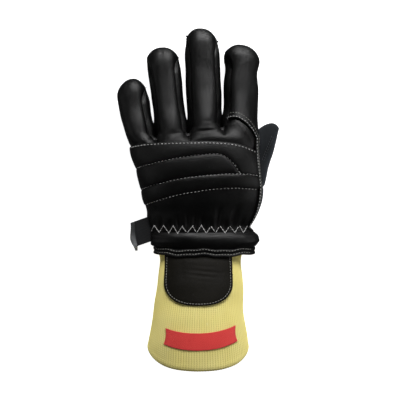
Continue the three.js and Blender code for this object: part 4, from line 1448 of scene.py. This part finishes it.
def finished(shader, tint, height, depth):
    """Gives a shader its colour, and a bump of this depth in metres."""
    feed(shader.inputs["Base Color"], tint)
    bump = node(shader.id_data, "ShaderNodeBump", Strength=1.0, Distance=depth, Height=height)
    feed(shader.inputs["Normal"], bump.outputs[0])


def leather(name, color, dull, rough, shine, pebbles, depth):
    """Finished grain leather: black painted shade in creases, a little duller and paler where worn.
    """
    material, shader, place = new_material(name, Specular_IOR_Level=shine)
    hide, worn = use_group(grain, place, Pebbles=pebbles), use_group(wear, place)
    dust = use_group(lint, place)
    drawn = noise(stretched(place, (1, 0.3, 1)), 190, 3, 0.6)
    tint = mixed(worn["Mask"], color, dull)
    # Painted shade: the grain's creases are darkened towards black.
    tint = mixed(times(hide["Crease"], 0.6), tint, (0.001, 0.001, 0.001))
    tint = mixed(times(dust["Mask"], 0.1), tint, (0.1, 0.1, 0.095))
    mottled = plus(times(worn["Fine"], 0.5), worn["Mask"])
    feed(shader.inputs["Roughness"], ranged(mottled, 0, 1.5, rough - 0.05, rough + 0.11))
    finished(shader, tint, plus(times(drawn, 2.2), hide["Height"]), depth)
    return material


def suede_leather(name, color, nap):
    """Split leather: no shine, a soft nap that catches light at its edges."""
    material, shader, place = new_material(
        name, Roughness=0.92, Specular_IOR_Level=0.2, Sheen_Weight=0.25, Sheen_Roughness=0.5,
        Sheen_Tint=(0.25, 0.3, 0.38, 1))
    worn = use_group(wear, place, Broad=60.0)
    brushed = noise(stretched(place, (1, 0.25, 1)), 500, 3, 0.6)
    tint = mixed(times(worn["Mask"], brushed), color, nap)
    finished(shader, tint, plus(noise(place, 3200, 3, 0.7), brushed), 0.00025)
    return material


black_leather = leather("black_leather", (0.0016, 0.0016, 0.0016), (0.003, 0.003, 0.0031),
                        0.36, 0.24, 900.0, 0.00006)
brown_leather = leather("pulse_leather", (0.0045, 0.0038, 0.0022), (0.008, 0.0068, 0.0042),
                        0.5, 0.1, 800.0, 0.00007)
suede = suede_leather("blue_black_suede", (0.008, 0.0092, 0.0105), (0.016, 0.018, 0.0205))

# %% [markdown]
# ### Knit, label, webbing and thread
#
# Rib knit shows columns of small V shaped loops. The ridges are modelled, so the shader adds
# the loops: a wave along each rib, bent into chevrons by the distance from its middle. The
# yarn is pale yellow aramid, paler and duller where its fibres fluff up.


# %% Cloth
def run_map(shader):
    """The flat coordinates that a sheet's surface was given."""
    return node(shader.id_data, "ShaderNodeUVMap", uv_map="run").outputs[0]


def knit_cloth(name, color, shade, fluff):
    """Rib knit: painted shade between its ribs and in the loops along them, and some lint."""
    material, shader, place = new_material(name, Roughness=0.95, Specular_IOR_Level=0.15,
                                           Sheen_Weight=0.15, Sheen_Tint=(*fluff, 1))
    axes = split_up(run_map(shader))
    column = size_of(minus(fraction(axes[0]), 0.5))
    ridge = cosine(times(axes[0], 2 * np.pi))
    loops = sine(times(plus(axes[1], times(column, 1.1)), 2 * np.pi))
    worn = use_group(wear, place, Broad=35.0)
    dust = use_group(lint, place, Specks=330.0, Amount=0.03)
    # Painted shade: darker in the grooves between the ribs.
    tint = mixed(ranged(ridge, -1, 0.6, 0.45, 0), color, shade)
    tint = mixed(times(worn["Mask"], 0.35), tint, fluff)
    # Painted shade: darker in the troughs of the loops.
    tint = mixed(ranged(loops, -1, -0.2, 0.06, 0), tint, shade)
    tint = mixed(times(dust["Mask"], 0.3), tint, (0.8, 0.76, 0.5))
    finished(shader, tint, plus(loops, times(noise(place, 2600, 3, 0.7), 2.0)), 0.00005)
    return material


def woven(name, color, dark, edge, threads):
    """Woven tape: crossing threads, with painted shade in the gaps between them, and a colour
    of its own where the mask called edge says: the label's finished edge, and a painted
    highlight along the webbing's fold."""
    material, shader, place = new_material(name, Roughness=0.75, Specular_IOR_Level=0.3,
                                           Sheen_Weight=0.1)
    cloth = use_group(weave, run_map(shader), Threads=threads)
    worn = use_group(wear, place, Broad=90.0)
    selvedge_and_highlight = node(shader.id_data, "ShaderNodeAttribute", attribute_name="edge").outputs["Fac"]
    # Painted shade: darker in the gaps between the threads.
    tint = mixed(times(cloth["Gap"], 0.7), color, dark)
    tint = mixed(times(worn["Mask"], 0.25), tint, dark)
    # The edge mask gives the label its finished edge and the webbing a painted highlight.
    finished(shader, mixed(selvedge_and_highlight, tint, edge), cloth["Height"], 0.0001)
    return material


def sewing_thread(name, color, shade):
    """Twisted thread, darker in its grooves as painted shade, and in random patches."""
    material, shader, place = new_material(name, Roughness=0.6)
    turns = use_group(twist, place)
    # Painted shade: the grooves of the twist are darkened.
    tint = mixed(ranged(turns["Height"], -1, 0.5, 1, 0), color, shade)
    # The same darker colour in random patches.
    tint = mixed(ranged(noise(place, 260, 2), 0.4, 0.75, 0, 0.6), tint, shade)
    finished(shader, tint, turns["Height"], 0.00006)
    return material


# The knit's second colour is its painted shade.
yellow_knit = knit_cloth("yellow_aramid_knit", (0.74, 0.645, 0.222), (0.61, 0.52, 0.175),
                         (0.77, 0.7, 0.31))
# Each tape's second colour is painted shade in the gaps between threads, also used where it is
# worn.
red_tape = woven("red_label_cloth", (0.74, 0.05, 0.045), (0.6, 0.034, 0.032),
                 (0.66, 0.042, 0.04), 9000.0)
# The webbing's pale edge colour is a painted highlight on its fold.
strap_tape = woven("black_webbing", (0.009, 0.0095, 0.011), (0.003, 0.003, 0.0035),
                   (0.3, 0.31, 0.32), 4200.0)
# Each thread's second colour is painted shade in its grooves, also used for random darker patches.
white_thread = sewing_thread("white_thread", (0.9, 0.9, 0.89), (0.55, 0.55, 0.54))
grey_thread = sewing_thread("grey_thread", (0.46, 0.46, 0.42), (0.25, 0.25, 0.23))
dark_thread = sewing_thread("dark_thread", (0.045, 0.048, 0.055), (0.02, 0.021, 0.024))
finish = {
    "palm_panel": (suede, "suede"), "thumb": (suede, "suede"),
    "knit_wristlet": (yellow_knit, "knit"), "label": (red_tape, "label"),
    "strap_tab": (strap_tape, "webbing"), "pulse_patch": (brown_leather, "leather"),
}
threads = {"white": white_thread, "grey": grey_thread, "dark": dark_thread}
for name, piece in pieces.items():
    material, slot_name = finish.get(name, (black_leather, "leather"))
    if "thread" in piece:
        material = threads[piece["thread"]]
    piece.data.materials.clear()
    piece.data.materials.append(material)
print("materials:", sorted(m.name for m in bpy.data.materials if m.users))

# %% [markdown]
# ## Floor and light
#
# The table gives off light of its own, so that it is as evenly white as the photo's, and is
# kept out of the leather's reflections. One strong light stands beyond the fingertips, and
# two weak ones fill in the sides.

# %% Floor
floor_mesh = bpy.data.meshes.new("floor")
reach = 4.0
corners = [(-reach, -reach, 0), (reach, -reach, 0), (reach, reach, 0), (-reach, reach, 0)]
floor_mesh.from_pydata(corners, [], [(0, 1, 2, 3)])
floor = add_object("floor", floor_mesh)
floor.location.z = -0.0002
floor.visible_glossy = False
table_top, shader, place = new_material("pale_table", Roughness=0.9, Emission_Strength=0.95,
                                        Emission_Color=(1, 1, 1, 1))
cloud = ranged(noise(place, 9, 3), 0.3, 0.7, 0, 1)
feed(shader.inputs["Base Color"], mixed(cloud, (0.93, 0.93, 0.93), (0.9, 0.9, 0.9)))
floor.data.materials.append(table_top)
print("floor:", 2 * reach, "m square")


# %% Lights
def softbox(name, place, size, power, toward=(0, 0, 0.02)):
    """A square area light aimed at the glove."""
    data = bpy.data.lights.new(name, "AREA")
    data.shape = "SQUARE"
    data.size = size
    data.energy = power
    lamp = add_object(name, data)
    lamp.location = place
    lamp.rotation_euler = (Vector(toward) - Vector(place)).to_track_quat("-Z", "Y").to_euler()


softbox("beyond the fingers", (0.22, 1.2, 0.66), 0.75, 24)
softbox("left", (-1.3, 0.1, 0.7), 0.8, 2)
softbox("right", (1.3, 0.0, 0.7), 0.8, 5)
world = bpy.data.worlds.new("world")
world.use_nodes = True
background = world.node_tree.nodes["Background"].inputs
feed(background[0], (1, 1, 1, 1))
feed(background[1], 0.05)
bpy.context.scene.world = world
bpy.context.scene.view_settings.view_transform = "Standard"
print("lights:", [one.name for one in bpy.data.lights])
